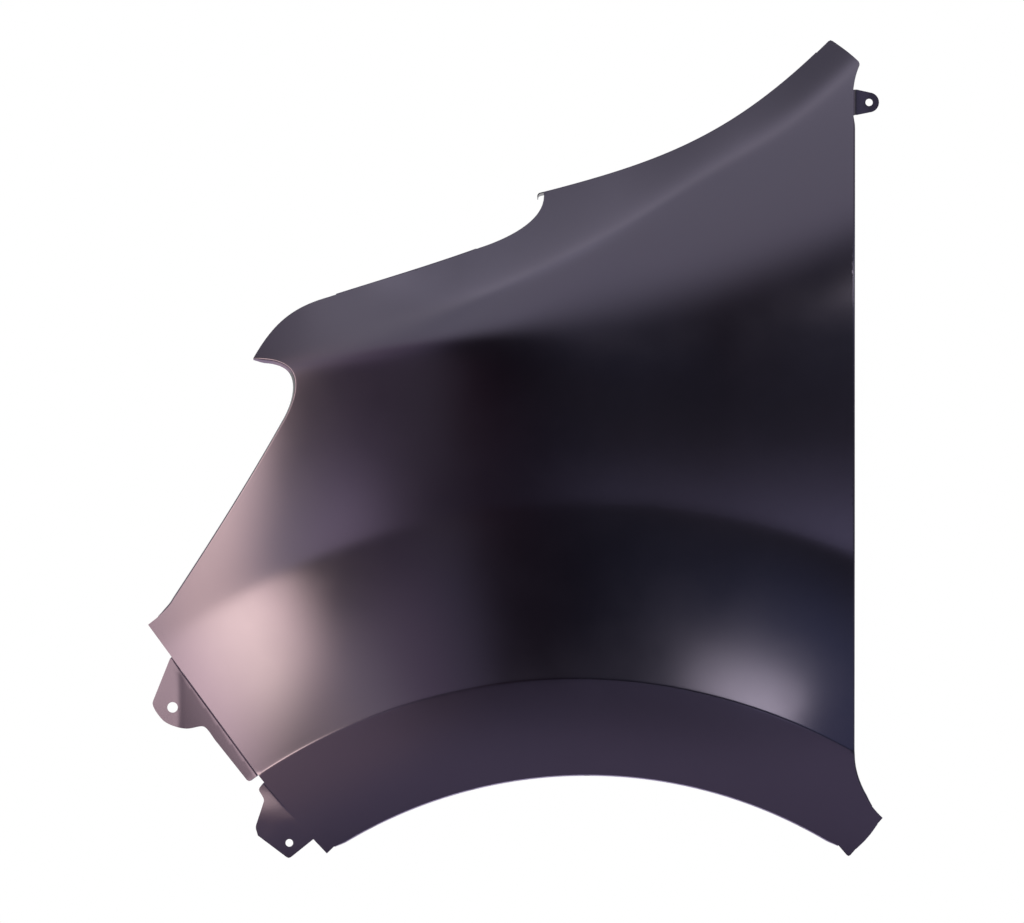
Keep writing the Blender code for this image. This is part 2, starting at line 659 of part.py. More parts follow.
def bumper_flange(bm, root, shape, depth):
    """Flange outside the bumper step, filled from its root row to its outer edge."""
    outer = []
    for stretch in shape:
        outer += resample(stretch, TAB_SPACING)[1:]
    rim = list(root) + [bm.verts.new((p.x, depth(p.x, p.y), p.y)) for p in outer[:-1]]
    polygon = [(v.co.x, v.co.z) for v in rim]
    left = min(x for x, _ in polygon)
    low = min(z for _, z in polygon)
    wide = round((max(x for x, _ in polygon) - left) / BOW_SPACING)
    high = round((max(z for _, z in polygon) - low) / BOW_SPACING)
    points = []
    for i in range(wide):
        for j in range(high):
            place = (left + (i + 0.5) * BOW_SPACING, low + (j + 0.5) * BOW_SPACING)
            if distance_to_edge(place, polygon) > TAB_SPACING * 0.6:
                points.append(Vector(place))
    fill(bm, rim, points, [], depth)


def plan(vert):
    """A vertex's place in the drawing plane."""
    return Vector((vert.co.x, vert.co.z))


def upper_tab_shape(start, end):
    """Outer edge of the upper bumper flange, from the top of the tab round to the relief notch."""
    hole = Vector(UPPER_HOLE)
    along = (Vector(BUMPER_NOTCH) - Vector(FRONT_CORNER)).normalized()
    places = (UPPER_NOSE, UPPER_CHIN, UPPER_HEEL, UPPER_NECK, UPPER_STRIP)
    nose, chin, heel, neck, strip = [hole + Vector(place) for place in places]
    foot = Vector(BUMPER_NOTCH) + Vector((along.y, -along.x)) * STRIP_WIDTH

    def bow(first, handles, last):
        return curve(first, hole + Vector(handles[0]), hole + Vector(handles[1]), last)

    return [
        straight(start, nose),
        bow(nose, UPPER_NOSE_HANDLES, chin),
        bow(chin, UPPER_CHIN_HANDLES, heel),
        bow(heel, UPPER_HEEL_HANDLES, neck),
        bow(neck, UPPER_NECK_HANDLES, strip),
        straight(strip, toward(foot, strip, TIP_ROUND)),
        rounding(toward(foot, strip, TIP_ROUND), foot, toward(foot, end, TIP_ROUND)),
        straight(toward(foot, end, TIP_ROUND), end),
    ]


def lower_tab_shape(start, end):
    """Outer edge of the lower bumper tab, from the relief notch round to the arch corner."""
    corners = [start] + [Vector(LOWER_HOLE) + Vector(corner) for corner in LOWER_CORNERS] + [end]
    stretches = []
    place = start
    for before, corner, after in zip(corners, corners[1:], corners[2:]):
        first = Vector(toward(corner, before, LOWER_ROUND))
        last = Vector(toward(corner, after, LOWER_ROUND))
        stretches += [straight(place, first), rounding(first, corner, last)]
        place = last
    return stretches + [straight(place, end)]


def press_sheet():
    """The pressing as one open surface: the skin, and every flange turned from its edge."""
    bm = bmesh.new()
    stretches = outline()
    chains = {}
    rim = []
    for name, points in stretches.items():
        chains[name] = len(rim)
        rim += [bm.verts.new((p.x, skin_depth(p.x, p.y), p.y)) for p in points[:-1]]

    def chain(*names):
        joined = []
        for name in names:
            first = chains[name]
            joined += [rim[(first + i) % len(rim)] for i in range(len(stretches[name]))]
            if name != names[-1]:
                joined.pop()
        return joined

    polygon = [(v.co.x, v.co.z) for v in rim]
    points, edges = interior(polygon)
    fill(bm, rim, points, edges, skin_depth)

    arch = chain("arch")
    flange(bm, arch, ARCH_FLANGE, [ARCH_DRAFT] * len(arch))
    door = setback(chain("door", "door_foot"), 0.0, DOOR_SETBACK)
    flange(bm, door, DOOR_FLANGE, [0.0] * len(door))
    sill = setback(chain("sill"), *SILL_SETBACK)
    flange(bm, sill, SILL_FLANGE, [0.0] * len(sill))
    lamp = setback(chain("lamp_foot", "lamp", "lamp_notch"), LAMP_SETBACK, 0.0)
    drafts = [LAMP_DRAFT + (BEAK_DRAFT - LAMP_DRAFT) * smooth(v.co.z, LAMP_TOP[1], BEAK[1]) for v in lamp]
    flange(bm, lamp, LAMP_FLANGE, drafts)
    ledge_with_hook(bm, setback(chain("windscreen"), 0.0, LEDGE_SETBACK))
    bonnet_rail(bm, setback(chain("bonnet"), *RAIL_SETBACK))
    ear_y = ear(bm, chain("ear_root"))

    upper = step_down(bm, chain("bumper"))
    bumper_flange(bm, upper, upper_tab_shape(plan(upper[-1]), plan(upper[0])), upper_tab_depth)
    lower = step_down(bm, chain("lower_step"))
    root = chain("tab_root") + lower[1:]
    bumper_flange(bm, root, lower_tab_shape(plan(root[-1]), plan(root[0])), lower_tab_depth)

    bmesh.ops.remove_doubles(bm, verts=bm.verts, dist=0.00002)
    bmesh.ops.recalc_face_normals(bm, faces=bm.faces)
    if sum(face.normal.y * face.calc_area() for face in bm.faces) > 0.0:
        bmesh.ops.reverse_faces(bm, faces=bm.faces)
    return bm, ear_y


def punch(name, place, axis, size, collection):
    """A cutter for a round hole, or for a slot when it has a width and a length."""
    width, length = size if isinstance(size, tuple) else (size, size)
    bpy.ops.mesh.primitive_cylinder_add(vertices=24, radius=width / 2.0, depth=PUNCH_LENGTH)
    cutter = bpy.context.object
    cutter.name = name
    for vert in cutter.data.vertices:
        vert.co.x += math.copysign((length - width) / 2.0, vert.co.x)
    upright = Vector((0.0, 0.0, 1.0)) if abs(axis.z) < 0.9 else REARWARD
    side = (upright - axis * upright.dot(axis)).normalized()
    cutter.matrix_world = Matrix((side, axis.cross(side), axis)).transposed().to_4x4()
    cutter.location = place
    cutter.hide_render = True
    cutter.display_type = "WIRE"
    for owner in list(cutter.users_collection):
        owner.objects.unlink(cutter)
    collection.objects.link(cutter)
    return cutter


def pierce(collection, origin, ear_y):
    """Every hole of the pressing, as cutters."""
    shift = -origin

    def at(x, y, z):
        return Vector((x, y, z)) + shift

    for i, angle in enumerate(LINER_HOLE_ANGLES):
        radial = Vector((math.sin(angle), 0.0, math.cos(angle)))
        edge = radial * ARCH_RADIUS
        depth = skin_depth(edge.x, edge.z) + ARCH_FLANGE * LINER_HOLE_SHARE
        punch("liner_hole_%d" % (i + 1), at(edge.x, depth, edge.z), radial, LINER_HOLE, collection)
    for i, height in enumerate(DOOR_SLOT_HEIGHTS):
        depth = skin_depth(DOOR_X, height) + DOOR_FLANGE * DOOR_SLOT_SHARE
        punch("door_slot_%d" % (i + 1), at(DOOR_X, depth, height), REARWARD, DOOR_SLOT, collection)
    sill = (Vector(SILL_CORNER) + Vector(ARCH_REAR_CORNER)) / 2.0
    along = (Vector(SILL_CORNER) - Vector(ARCH_REAR_CORNER)).normalized()
    across = Vector((along.y, 0.0, -along.x))
    depth = skin_depth(sill.x, sill.y) + SILL_FLANGE * SILL_HOLE_SHARE
    punch("sill_hole", at(sill.x, depth, sill.y), across, SILL_HOLE, collection)
    x0, z0, slope = rail_plane()
    for i, share in enumerate(RAIL_SLOT_SHARES):
        x = BONNET_FRONT[0] + (BONNET_REAR[0] - BONNET_FRONT[0]) * share
        z = z0 + (x - x0) * slope
        depth = skin_depth(x, z + RAIL_WALL) + RAIL_WALL * WALL_LEAN + RAIL_WIDTH * RAIL_SLOT_ACROSS
        normal = Vector((-slope, 0.0, 1.0)).normalized()
        punch("rail_slot_%d" % (i + 1), at(x, depth, z), normal, RAIL_SLOT, collection)
    punch("ear_hole", at(DOOR_X + EAR_HOLE_REACH, ear_y, EAR_MIDDLE), INBOARD, EAR_HOLE, collection)
    punch("upper_tab_hole", at(UPPER_HOLE[0], upper_tab_depth(*UPPER_HOLE), UPPER_HOLE[1]), INBOARD,
          UPPER_HOLE_SIZE, collection)
    punch("lower_tab_hole", at(LOWER_HOLE[0], lower_tab_depth(*LOWER_HOLE), LOWER_HOLE[1]), INBOARD,
          LOWER_HOLE_SIZE, collection)


def satin_primer():
    """Satin black primer over steel."""
    material = bpy.data.materials.new("satin_black_primer")
    material.use_nodes = True
    shader = material.node_tree.nodes["Principled BSDF"]
    shader.inputs["Base Color"].default_value = (0.012, 0.011, 0.014, 1.0)
    shader.inputs["Roughness"].default_value = 0.38
    shader.inputs["Metallic"].default_value = 0.0
    return material


def main():
    for item in list(bpy.data.objects):
        bpy.data.objects.remove(item)
    parts = bpy.data.collections.new("car_fender")
    cutters = bpy.data.collections.new("cutters")
    bpy.context.scene.collection.children.link(parts)
    bpy.context.scene.collection.children.link(cutters)

    bm, ear_y = press_sheet()
    # The part's origin is on the inboard face of the ear, between its root and its hole.
    origin = Vector((DOOR_X + ORIGIN_REACH, ear_y + SHEET, EAR_MIDDLE))
    bmesh.ops.translate(bm, verts=bm.verts, vec=-origin)
    mesh = bpy.data.meshes.new("fender_panel")
    bm.to_mesh(mesh)
    bm.free()
    panel = bpy.data.objects.new("fender_panel", mesh)
    parts.objects.link(panel)
    mesh.materials.append(satin_primer())
    mesh.shade_smooth()
    mesh.set_sharp_from_angle(angle=math.radians(35.0))

    wall = panel.modifiers.new("sheet_thickness", "SOLIDIFY")
    wall.thickness = SHEET
    wall.offset = -1.0
    wall.use_even_offset = True
    wall.use_quality_normals = True
    pierce(cutters, origin, ear_y)
    holes = panel.modifiers.new("pierced_holes", "BOOLEAN")
    holes.operation = "DIFFERENCE"
    holes.solver = "EXACT"
    holes.operand_type = "COLLECTION"
    holes.collection = cutters
    normals = panel.modifiers.new("flat_faces_lead", "WEIGHTED_NORMAL")
    normals.keep_sharp = True


main()
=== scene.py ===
# %% [markdown]
# # Front fender of a van
# A loose front fender, as it comes from a spare-parts shelf: one pressing of 0.8 mm steel, dipped in
# satin black primer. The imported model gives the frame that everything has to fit. This lesson cuts a
# fine flat blank, presses it with Geometry Nodes, turns the flanges, gives it the primer and lights it.

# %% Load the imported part
import math

import bmesh
import bpy
import numpy as np
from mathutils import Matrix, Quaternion, Vector
from mathutils.geometry import delaunay_2d_cdt, interpolate_bezier


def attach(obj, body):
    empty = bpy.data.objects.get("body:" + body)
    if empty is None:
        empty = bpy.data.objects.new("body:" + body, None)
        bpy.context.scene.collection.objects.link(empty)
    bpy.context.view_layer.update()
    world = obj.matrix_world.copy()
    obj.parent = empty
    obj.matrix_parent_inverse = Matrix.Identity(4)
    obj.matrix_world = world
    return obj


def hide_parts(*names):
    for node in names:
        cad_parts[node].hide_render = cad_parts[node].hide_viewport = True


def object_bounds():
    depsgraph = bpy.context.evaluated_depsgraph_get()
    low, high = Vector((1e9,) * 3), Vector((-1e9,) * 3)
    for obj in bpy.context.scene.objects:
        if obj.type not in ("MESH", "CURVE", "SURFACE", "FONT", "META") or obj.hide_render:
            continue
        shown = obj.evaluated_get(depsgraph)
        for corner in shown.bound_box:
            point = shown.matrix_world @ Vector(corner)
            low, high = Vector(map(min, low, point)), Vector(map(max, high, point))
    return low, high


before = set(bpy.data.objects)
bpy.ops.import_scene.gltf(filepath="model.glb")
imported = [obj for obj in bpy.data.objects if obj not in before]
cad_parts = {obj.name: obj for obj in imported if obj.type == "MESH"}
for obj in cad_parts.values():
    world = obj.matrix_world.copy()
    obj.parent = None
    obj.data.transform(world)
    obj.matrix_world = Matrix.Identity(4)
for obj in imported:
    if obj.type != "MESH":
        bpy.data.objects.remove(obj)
cad_box = [list(corner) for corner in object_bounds()]
print("box of the solid:", [[round(v, 4) for v in corner] for corner in cad_box])

# %% [markdown]
# ## Sizes
# A body drawing has its zero at the wheel centre: X runs rearward, Y inboard and Z up. The sizes below
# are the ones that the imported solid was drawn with. Only the mesh is finer here, and the crease of the
# flare leans a little.

# %% Sheet and wheel arch
SHEET = 0.0008
BEND_RADIUS = 0.0015
INBOARD = Vector((0.0, 1.0, 0.0))
REARWARD = Vector((1.0, 0.0, 0.0))

ARCH_RADIUS = 0.4102
CREASE_RADIUS = 0.4921
FLARE_RADIUS = 0.6400
ARCH_FRONT_ANGLE = math.radians(-32.2)
ARCH_REAR_ANGLE = math.radians(32.0)
print("wheel arch radius %.1f mm" % (ARCH_RADIUS * 1000))

# %% Corners of the skin, as (x, z) in the drawing
NOTCH_TOP = (-0.0375, 0.9128)
TIP = (0.2105, 1.0452)
TIP_SIDE = (0.2362, 1.0252)
DOOR_TOP = (0.2302, 1.0035)
DOOR_X = 0.2303
DOOR_BOTTOM_Z = 0.4260
SILL_CORNER = (0.2558, 0.3716)
ARCH_REAR_CORNER = (0.2263, 0.3376)
ARCH_FRONT_CORNER = (-0.2251, 0.3409)
BUMPER_LOW = (-0.2368, 0.3532)
BUMPER_FADE = (-0.2483, 0.3663)
BUMPER_STEP = (-0.2793, 0.4023)
BUMPER_NOTCH = (-0.2844, 0.4087)
FRONT_CORNER = (-0.3797, 0.5387)
LAMP_FOOT = (-0.3572, 0.5612)
LAMP_TOP = (-0.2610, 0.7170)
BEAK = (-0.2886, 0.7694)
BONNET_FRONT = (-0.2238, 0.8222)
BONNET_REAR = (-0.0924, 0.8650)
TIP_ROUND = 0.0024
EAR_TOP = 1.0015
EAR_BOTTOM = 0.9795
EAR_RELIEF = 0.001
UPPER_RUN = 0.1265

# %% [markdown]
# ## The edge of the skin
# A trimming die cuts the edge of the skin in one blow. Each stretch of it meets another part of the
# car, so each gets a name: later a flange grows from a stretch by its name. Straights, arcs and Bezier
# curves describe such an edge with few points, and a walk along them spaces the points evenly.

# %% Straights, arcs and curves
EDGE_SPACING = 0.0036
TAB_SPACING = 0.0020
CURVE_PARTS = 240
ARC_PARTS = 300
ROUND_POINTS = 13
ROUND_PULL = 0.6


def toward(start, end, distance):
    """The point at a distance from start on the way to end."""
    a, b = Vector(start), Vector(end)
    return tuple(a + (b - a).normalized() * distance)


def curve(start, handle_a, handle_b, end, count=CURVE_PARTS):
    """Points of a Bezier curve in the drawing plane."""
    return interpolate_bezier(Vector(start), Vector(handle_a), Vector(handle_b), Vector(end), count)


def straight(start, end):
    """A straight stretch, finely divided."""
    return [Vector(start).lerp(Vector(end), i / CURVE_PARTS) for i in range(CURVE_PARTS + 1)]


def arc(radius, angle_a, angle_b):
    """An arc about the wheel centre; angles are from straight up, positive rearward."""
    turns = [angle_a + (angle_b - angle_a) * i / ARC_PARTS for i in range(ARC_PARTS + 1)]
    return [Vector((radius * math.sin(a), radius * math.cos(a))) for a in turns]


def rounding(before, corner, after):
    """A small round from one point to another over a sharp corner."""
    handles = [Vector(end).lerp(Vector(corner), ROUND_PULL) for end in (before, after)]
    return curve(before, *handles, after, ROUND_POINTS)


def rounded_run(corners, reaches):
    """Straights from corner to corner, with a round of its own reach at each inner one."""
    stretches = []
    last = corners[0]
    for before, corner, after, reach in zip(corners, corners[1:], corners[2:], reaches):
        stretches.append(straight(last, toward(corner, before, reach)))
        last = toward(corner, after, reach)
        if reach:
            stretches.append(rounding(toward(corner, before, reach), corner, last))
    return stretches + [straight(last, corners[-1])]


def resample(points, spacing):
    """Respace a fine stretch evenly, keeping both ends."""
    lengths = [0.0]
    for a, b in zip(points, points[1:]):
        lengths.append(lengths[-1] + (b - a).length)
    count = max(1, math.ceil(lengths[-1] / spacing))
    result = []
    k = 0
    for i in range(count + 1):
        target = lengths[-1] * i / count
        while k < len(points) - 2 and lengths[k + 1] < target:
            k += 1
        share = (target - lengths[k]) / max(lengths[k + 1] - lengths[k], 1e-9)
        result.append(points[k].lerp(points[k + 1], min(share, 1.0)))
    return result


# %% The stretches, clockwise as seen from outside
FINE_STRETCHES = {"tip_round", "side_round", "ear_root", "ear_relief", "sill_round", "tab_root",
                  "lower_step", "step_relief", "lamp_foot"}


def on_arch(angle):
    """The point of the arch edge at an angle from straight up."""
    return (ARCH_RADIUS * math.sin(angle), ARCH_RADIUS * math.cos(angle))


def skin_edge():
    """The skin's edge as named stretches."""
    tip_a = toward(TIP, (0.1286, 0.9645), TIP_ROUND)
    tip_b = toward(TIP, TIP_SIDE, TIP_ROUND)
    side_a = toward(TIP_SIDE, TIP, TIP_ROUND)
    side_b = toward(TIP_SIDE, DOOR_TOP, TIP_ROUND)
    sill_end = toward(ARCH_REAR_CORNER, SILL_CORNER, TIP_ROUND)
    arch_start = on_arch(ARCH_REAR_ANGLE)
    arch_round = toward(ARCH_REAR_CORNER, arch_start, TIP_ROUND)
    tab_start = toward(BUMPER_NOTCH, FRONT_CORNER, UPPER_RUN)
    ear_top = (DOOR_X, EAR_TOP)
    ear_bottom = (DOOR_X, EAR_BOTTOM)
    door_start = (DOOR_X, EAR_BOTTOM - EAR_RELIEF)
    door_end = (DOOR_X, DOOR_BOTTOM_Z)
    stretches = {
        "windscreen": curve(NOTCH_TOP, (0.0697, 0.9403), (0.1286, 0.9645), tip_a),
        "tip_round": rounding(tip_a, TIP, tip_b),
        "tip_end": curve(tip_b, (0.2190, 1.0392), (0.2270, 1.0337), side_a),
        "side_round": rounding(side_a, TIP_SIDE, side_b),
        "tip_side": curve(side_b, (0.2322, 1.0150), (0.2312, 1.0090), ear_top),
        "ear_root": straight(ear_top, ear_bottom),
        "ear_relief": straight(ear_bottom, door_start),
        "door": straight(door_start, door_end),
        "door_foot": curve(door_end, (DOOR_X, 0.4068), (0.2410, 0.3851), SILL_CORNER),
        "sill": straight(SILL_CORNER, sill_end),
        "sill_round": rounding(sill_end, ARCH_REAR_CORNER, arch_round),
        "arch_rear_end": straight(arch_round, arch_start),
        "arch": arc(ARCH_RADIUS, ARCH_REAR_ANGLE, ARCH_FRONT_ANGLE),
        "arch_front_end": straight(on_arch(ARCH_FRONT_ANGLE), ARCH_FRONT_CORNER),
        "arch_front": straight(ARCH_FRONT_CORNER, BUMPER_LOW),
        "tab_root": straight(BUMPER_LOW, BUMPER_FADE),
        "lower_step": straight(BUMPER_FADE, BUMPER_STEP),
        "step_relief": straight(BUMPER_STEP, BUMPER_NOTCH),
        "bumper": straight(BUMPER_NOTCH, tab_start),
        "bumper_bare": straight(tab_start, FRONT_CORNER),
        "lamp_foot": curve(FRONT_CORNER, (-0.3715, 0.5452), (-0.3623, 0.5517), LAMP_FOOT),
        "lamp": curve(LAMP_FOOT, (-0.3236, 0.6120), (-0.2911, 0.6635), LAMP_TOP),
        "lamp_notch": curve(LAMP_TOP, (-0.2455, 0.7456), (-0.2462, 0.7720), BEAK),
        "beak": curve(BEAK, (-0.2717, 0.7987), (-0.2562, 0.8131), BONNET_FRONT),
        "bonnet": curve(BONNET_FRONT, (-0.1799, 0.8363), (-0.1357, 0.8493), BONNET_REAR),
        "notch": curve(BONNET_REAR, (-0.0738, 0.8711), (-0.0339, 0.8873), NOTCH_TOP),
    }
    return {name: resample(points, TAB_SPACING if name in FINE_STRETCHES else EDGE_SPACING)
            for name, points in stretches.items()}


edge = skin_edge()
print("skin edge: %d stretches, %d points" % (len(edge), sum(len(p) - 1 for p in edge.values())))

# %% [markdown]
# ## The two bumper tabs
# Below the lamp the bumper cover tucks under the skin, so the press steps the metal down by 3 mm along
# that edge and carries it on as a strip with two tabs. They are cut from the same blank, so they are
# drawn here as two more pieces of the flat pattern, a little way off the skin's edge: the gap between
# is filled by the step once the pattern has been pressed.

# %% Sizes of the step and the tabs
STEP_DEPTH = 0.0030
STEP_RUN = 0.0018
STRIP_LEAN = math.radians(9.0)
STEP_FADE = 0.040
STRIP_WIDTH = 0.0104
UPPER_HOLE = (-0.3585, 0.4672)
UPPER_HOLE_SIZE = 0.0091
LOWER_HOLE = (-0.2575, 0.3500)
LOWER_HOLE_SIZE = 0.0066
UPPER_BEND = 0.0055
UPPER_BEND_SOFT = 0.0045
UPPER_TURN = -0.16
LOWER_PAD = 0.0125
LOWER_PAD_BLEND = 0.0260


def smooth(value, low, high):
    """Ease from 0 at low to 1 at high."""
    t = min(max((value - low) / (high - low), 0.0), 1.0)
    return t * t * (3.0 - 2.0 * t)


def step_share(z):
    """The step has its full depth beside the upper tab and fades out above the lower one."""
    return smooth(z, BUMPER_FADE[1], BUMPER_FADE[1] + STEP_FADE)


def offset_row(points):
    """The bumper edge moved out by the run of the step: the root of a strip."""
    along = (points[-1] - points[0]).normalized()
    out = Vector((-along.y, along.x))
    return [p + out * STEP_RUN * min(1.0, 3.0 * step_share(p.y)) for p in points]


# %% Outer edges of the tabs, as places from their holes
UPPER_CURVES = [
    ((-0.0170, 0.0053), (-0.0188, 0.0015), (-0.0125, -0.0068), (-0.0085, -0.0110)),
    ((-0.0085, -0.0110), (-0.0050, -0.0145), (0.0040, -0.0178), (0.0104, -0.0183)),
    ((0.0104, -0.0183), (0.0150, -0.0190), (0.0200, -0.0166), (0.0251, -0.0163)),
    ((0.0251, -0.0163), (0.0290, -0.0160), (0.0320, -0.0215), (0.0367, -0.0282)),
]
LOWER_CORNERS = [(-0.0269, 0.0463), (-0.0215, 0.0374), (-0.0294, 0.0136), (-0.0272, 0.0063),
                 (-0.0005, -0.0138)]
LOWER_ROUNDS = [0.002, TIP_ROUND, TIP_ROUND, 0.0, TIP_ROUND]


def from_hole(hole, offsets):
    """Places that are given from the middle of a hole."""
    return [Vector(hole) + Vector(offset) for offset in offsets]


def upper_tab(start, end):
    """From the top of the upper tab round to the relief notch."""
    curves = [from_hole(UPPER_HOLE, four) for four in UPPER_CURVES]
    along = (Vector(BUMPER_NOTCH) - Vector(FRONT_CORNER)).normalized()
    strip_end = Vector(BUMPER_NOTCH) + Vector((along.y, -along.x)) * STRIP_WIDTH
    return ([straight(start, curves[0][0])] + [curve(*four) for four in curves]
            + rounded_run([curves[-1][3], strip_end, end], [TIP_ROUND]))


def lower_tab(start, end):
    """From the relief notch round to the corner of the arch."""
    return rounded_run([start] + from_hole(LOWER_HOLE, LOWER_CORNERS) + [end], LOWER_ROUNDS)


def past_bumper_line(x, z):
    """Distance of a place beyond the line of the bumper edge, towards the front."""
    run = (Vector(FRONT_CORNER) - Vector(BUMPER_LOW)).normalized()
    return max(0.0, (z - BUMPER_LOW[1]) * run.x - (x - BUMPER_LOW[0]) * run.y)


def rim_of(root, stretches):
    """The closed rim of a tab: its root, then its outer edge without the shared ends."""
    return root + [p for stretch in stretches for p in resample(stretch, TAB_SPACING)[:-1]][1:]


upper_root = offset_row(edge["bumper"])
upper_rim = rim_of(upper_root, upper_tab(upper_root[-1], upper_root[0]))
lower_root = edge["tab_root"][:-1] + offset_row(edge["lower_step"])
lower_rim = rim_of(lower_root, lower_tab(lower_root[-1], lower_root[0]))
print("upper tab: %d edge points, lower tab: %d" % (len(upper_rim), len(lower_rim)))

# %% [markdown]
# ## Filling the flat pattern
# The pattern could be filled with one big face and subdivided, but then its triangles would run in all
# directions and the crease would come out ragged. Instead points are laid on rings round the wheel
# where the flare will rise, close together at the crease, and on a triangular grid elsewhere, and a
# Delaunay triangulation joins them.

# %% Distance to the edge, for many points at once
BATCH = 2000


def edge_distance(points, rim):
    """Distance of each point to a closed rim, negative outside it."""
    a = np.array(rim)
    b = np.roll(a, -1, axis=0)
    step = b - a
    length2 = (step ** 2).sum(axis=1)
    result = np.empty(len(points))
    for first in range(0, len(points), BATCH):
        p = points[first:first + BATCH][:, None, :]
        t = np.clip(((p - a) * step).sum(axis=2) / length2, 0.0, 1.0)
        gap = np.sqrt((((p - a) - t[..., None] * step) ** 2).sum(axis=2)).min(axis=1)
        spans = (a[:, 1] > p[..., 1]) != (b[:, 1] > p[..., 1])
        rise = np.where(np.abs(step[:, 1]) < 1e-12, 1e-12, step[:, 1])
        crossing = step[:, 0] * (p[..., 1] - a[:, 1]) / rise + a[:, 0]
        inside = (spans & (p[..., 0] < crossing)).sum(axis=1) % 2 == 1
        result[first:first + BATCH] = np.where(inside, gap, -gap)
    return result


def triangular_grid(rim, spacing):
    """Points of a triangular grid over the box of a rim."""
    low = np.array(rim).min(axis=0)
    high = np.array(rim).max(axis=0)
    rows = np.arange(low[1], high[1], spacing * math.sqrt(0.75))
    columns = np.arange(low[0], high[0], spacing)
    return np.array([(x + spacing * 0.5 * (j % 2), z) for j, z in enumerate(rows) for x in columns])


# %% Rings round the wheel, and rows along the crease
CREASE_SOFT = 0.0005
CREASE_LEAN = 0.0106
LEAN_SPAN = (0.020, 0.070)
GRID_SPACING = 0.0040
TAB_GRID = TAB_SPACING * 1.2
RING_OPENING = 0.35
RING_TURN = 0.8
RIM_INSET = 0.0005
RIM_MARGIN = 0.45
RING_MARGIN = 0.6


def ring_points():
    """Rings from the arch edge to the top of the flare, closer together along the crease."""
    radii = [ARCH_RADIUS]
    while radii[-1] < FLARE_RADIUS:
        away = abs(radii[-1] - CREASE_RADIUS)
        radii.append(radii[-1] + min(GRID_SPACING, max(CREASE_SOFT * 0.4, away * RING_OPENING)))
    points = []
    for k, radius in enumerate(radii[1:]):
        count = round(2.0 * RING_TURN * radius / GRID_SPACING)
        turns = -RING_TURN + 2.0 * RING_TURN * (np.arange(count) + 0.5 * (k % 2)) / count
        lean = CREASE_LEAN * (1.0 - smooth(abs(radius - CREASE_RADIUS), *LEAN_SPAN))
        reach = radius - lean * np.sin(turns)
        points.append(np.stack([reach * np.sin(turns), reach * np.cos(turns)], axis=1))
    return np.concatenate(points)


def inset_row(rim):
    """A row of points just inside a rim, so that the skin keeps its own shade up to its bends."""
    here = np.array(rim)
    along = np.roll(here, -1, axis=0) - np.roll(here, 1, axis=0)
    side = np.stack([along[:, 1], -along[:, 0]], axis=1) / np.linalg.norm(along, axis=1)[:, None]
    rows = np.concatenate([here + side * RIM_INSET, here - side * RIM_INSET])
    return rows[edge_distance(rows, rim) > RIM_INSET * 0.8]


def skin_points(rim):
    """All inner points of the skin."""
    grid = triangular_grid(rim, GRID_SPACING)
    grid = grid[np.hypot(grid[:, 0], grid[:, 1]) > FLARE_RADIUS + GRID_SPACING * RING_MARGIN]
    points = np.concatenate([ring_points(), grid])
    points = points[edge_distance(points, rim) > GRID_SPACING * RIM_MARGIN]
    return np.concatenate([points, inset_row(rim)])


def tab_points(rim):
    """All inner points of a tab."""
    grid = triangular_grid(rim, TAB_GRID)
    return grid[edge_distance(grid, rim) > TAB_GRID / 2.0]


# %% Fill the three pieces of the pattern
def fill(rim, inner):
    """Triangles over a rim and its inner points; the rim keeps its order at the start."""
    flat = [Vector(p) for p in rim] + [Vector(p) for p in inner]
    count = len(rim)
    borders = [(i, (i + 1) % count) for i in range(count)]
    verts, _, faces, origins, _, _ = delaunay_2d_cdt(flat, borders, [list(range(count))], 1, 1e-7)
    new_index = {}
    order = list(range(count))
    for i, origin in enumerate(origins):
        known = [k for k in origin if k < count]
        new_index[i] = known[0] if known else len(order)
        if not known:
            order.append(i)
    places = [tuple(p) for p in rim] + [tuple(verts[i]) for i in order[count:]]
    return places, [[new_index[i] for i in face] for face in faces]


skin_rim = [p for points in edge.values() for p in points[:-1]]
pieces = {
    "skin": fill(skin_rim, skin_points([tuple(p) for p in skin_rim])),
    "upper": fill(upper_rim, tab_points([tuple(p) for p in upper_rim])),
    "lower": fill(lower_rim, tab_points([tuple(p) for p in lower_rim])),
}
print("flat pattern:", {name: len(faces) for name, (_, faces) in pieces.items()}, "triangles")

# %% [markdown]
# ## Scribing the fold lines
# The shoulder and the ridge above it run across the skin on smooth lines. A toolmaker would scribe them
# on the blank. Here each point of the pattern stores how far it lies above each line, as an attribute,
# and the press reads it. The tabs also store how far the step takes them down.

# %% Fold lines
SHOULDER_LINE = [(-0.420, 0.735), (-0.248, 0.766), (-0.110, 0.787), (0.028, 0.808), (0.132, 0.842),
                 (0.300, 0.910)]
RIDGE_LINE = [(-0.420, 0.730), (-0.162, 0.803), (-0.075, 0.830), (0.011, 0.871), (0.098, 0.928),
              (0.184, 0.984), (0.300, 1.095)]


def line_height(line, x):
    """Height at x of a smooth line through a few points."""
    last = len(line) - 2
    i = next((k for k in range(last) if x < line[k + 1][0]), last)
    before = line[max(i - 1, 0)]
    after = line[min(i + 2, last + 1)]
    (xa, za), (xb, zb) = line[i], line[i + 1]
    slope_a = (zb - before[1]) / (xb - before[0])
    slope_b = (after[1] - za) / (after[0] - xa)
    span = xb - xa
    t = (x - xa) / span
    return ((2 * t**3 - 3 * t**2 + 1) * za + (t**3 - 2 * t**2 + t) * span * slope_a
            + (3 * t**2 - 2 * t**3) * zb + (t**3 - t**2) * span * slope_b)


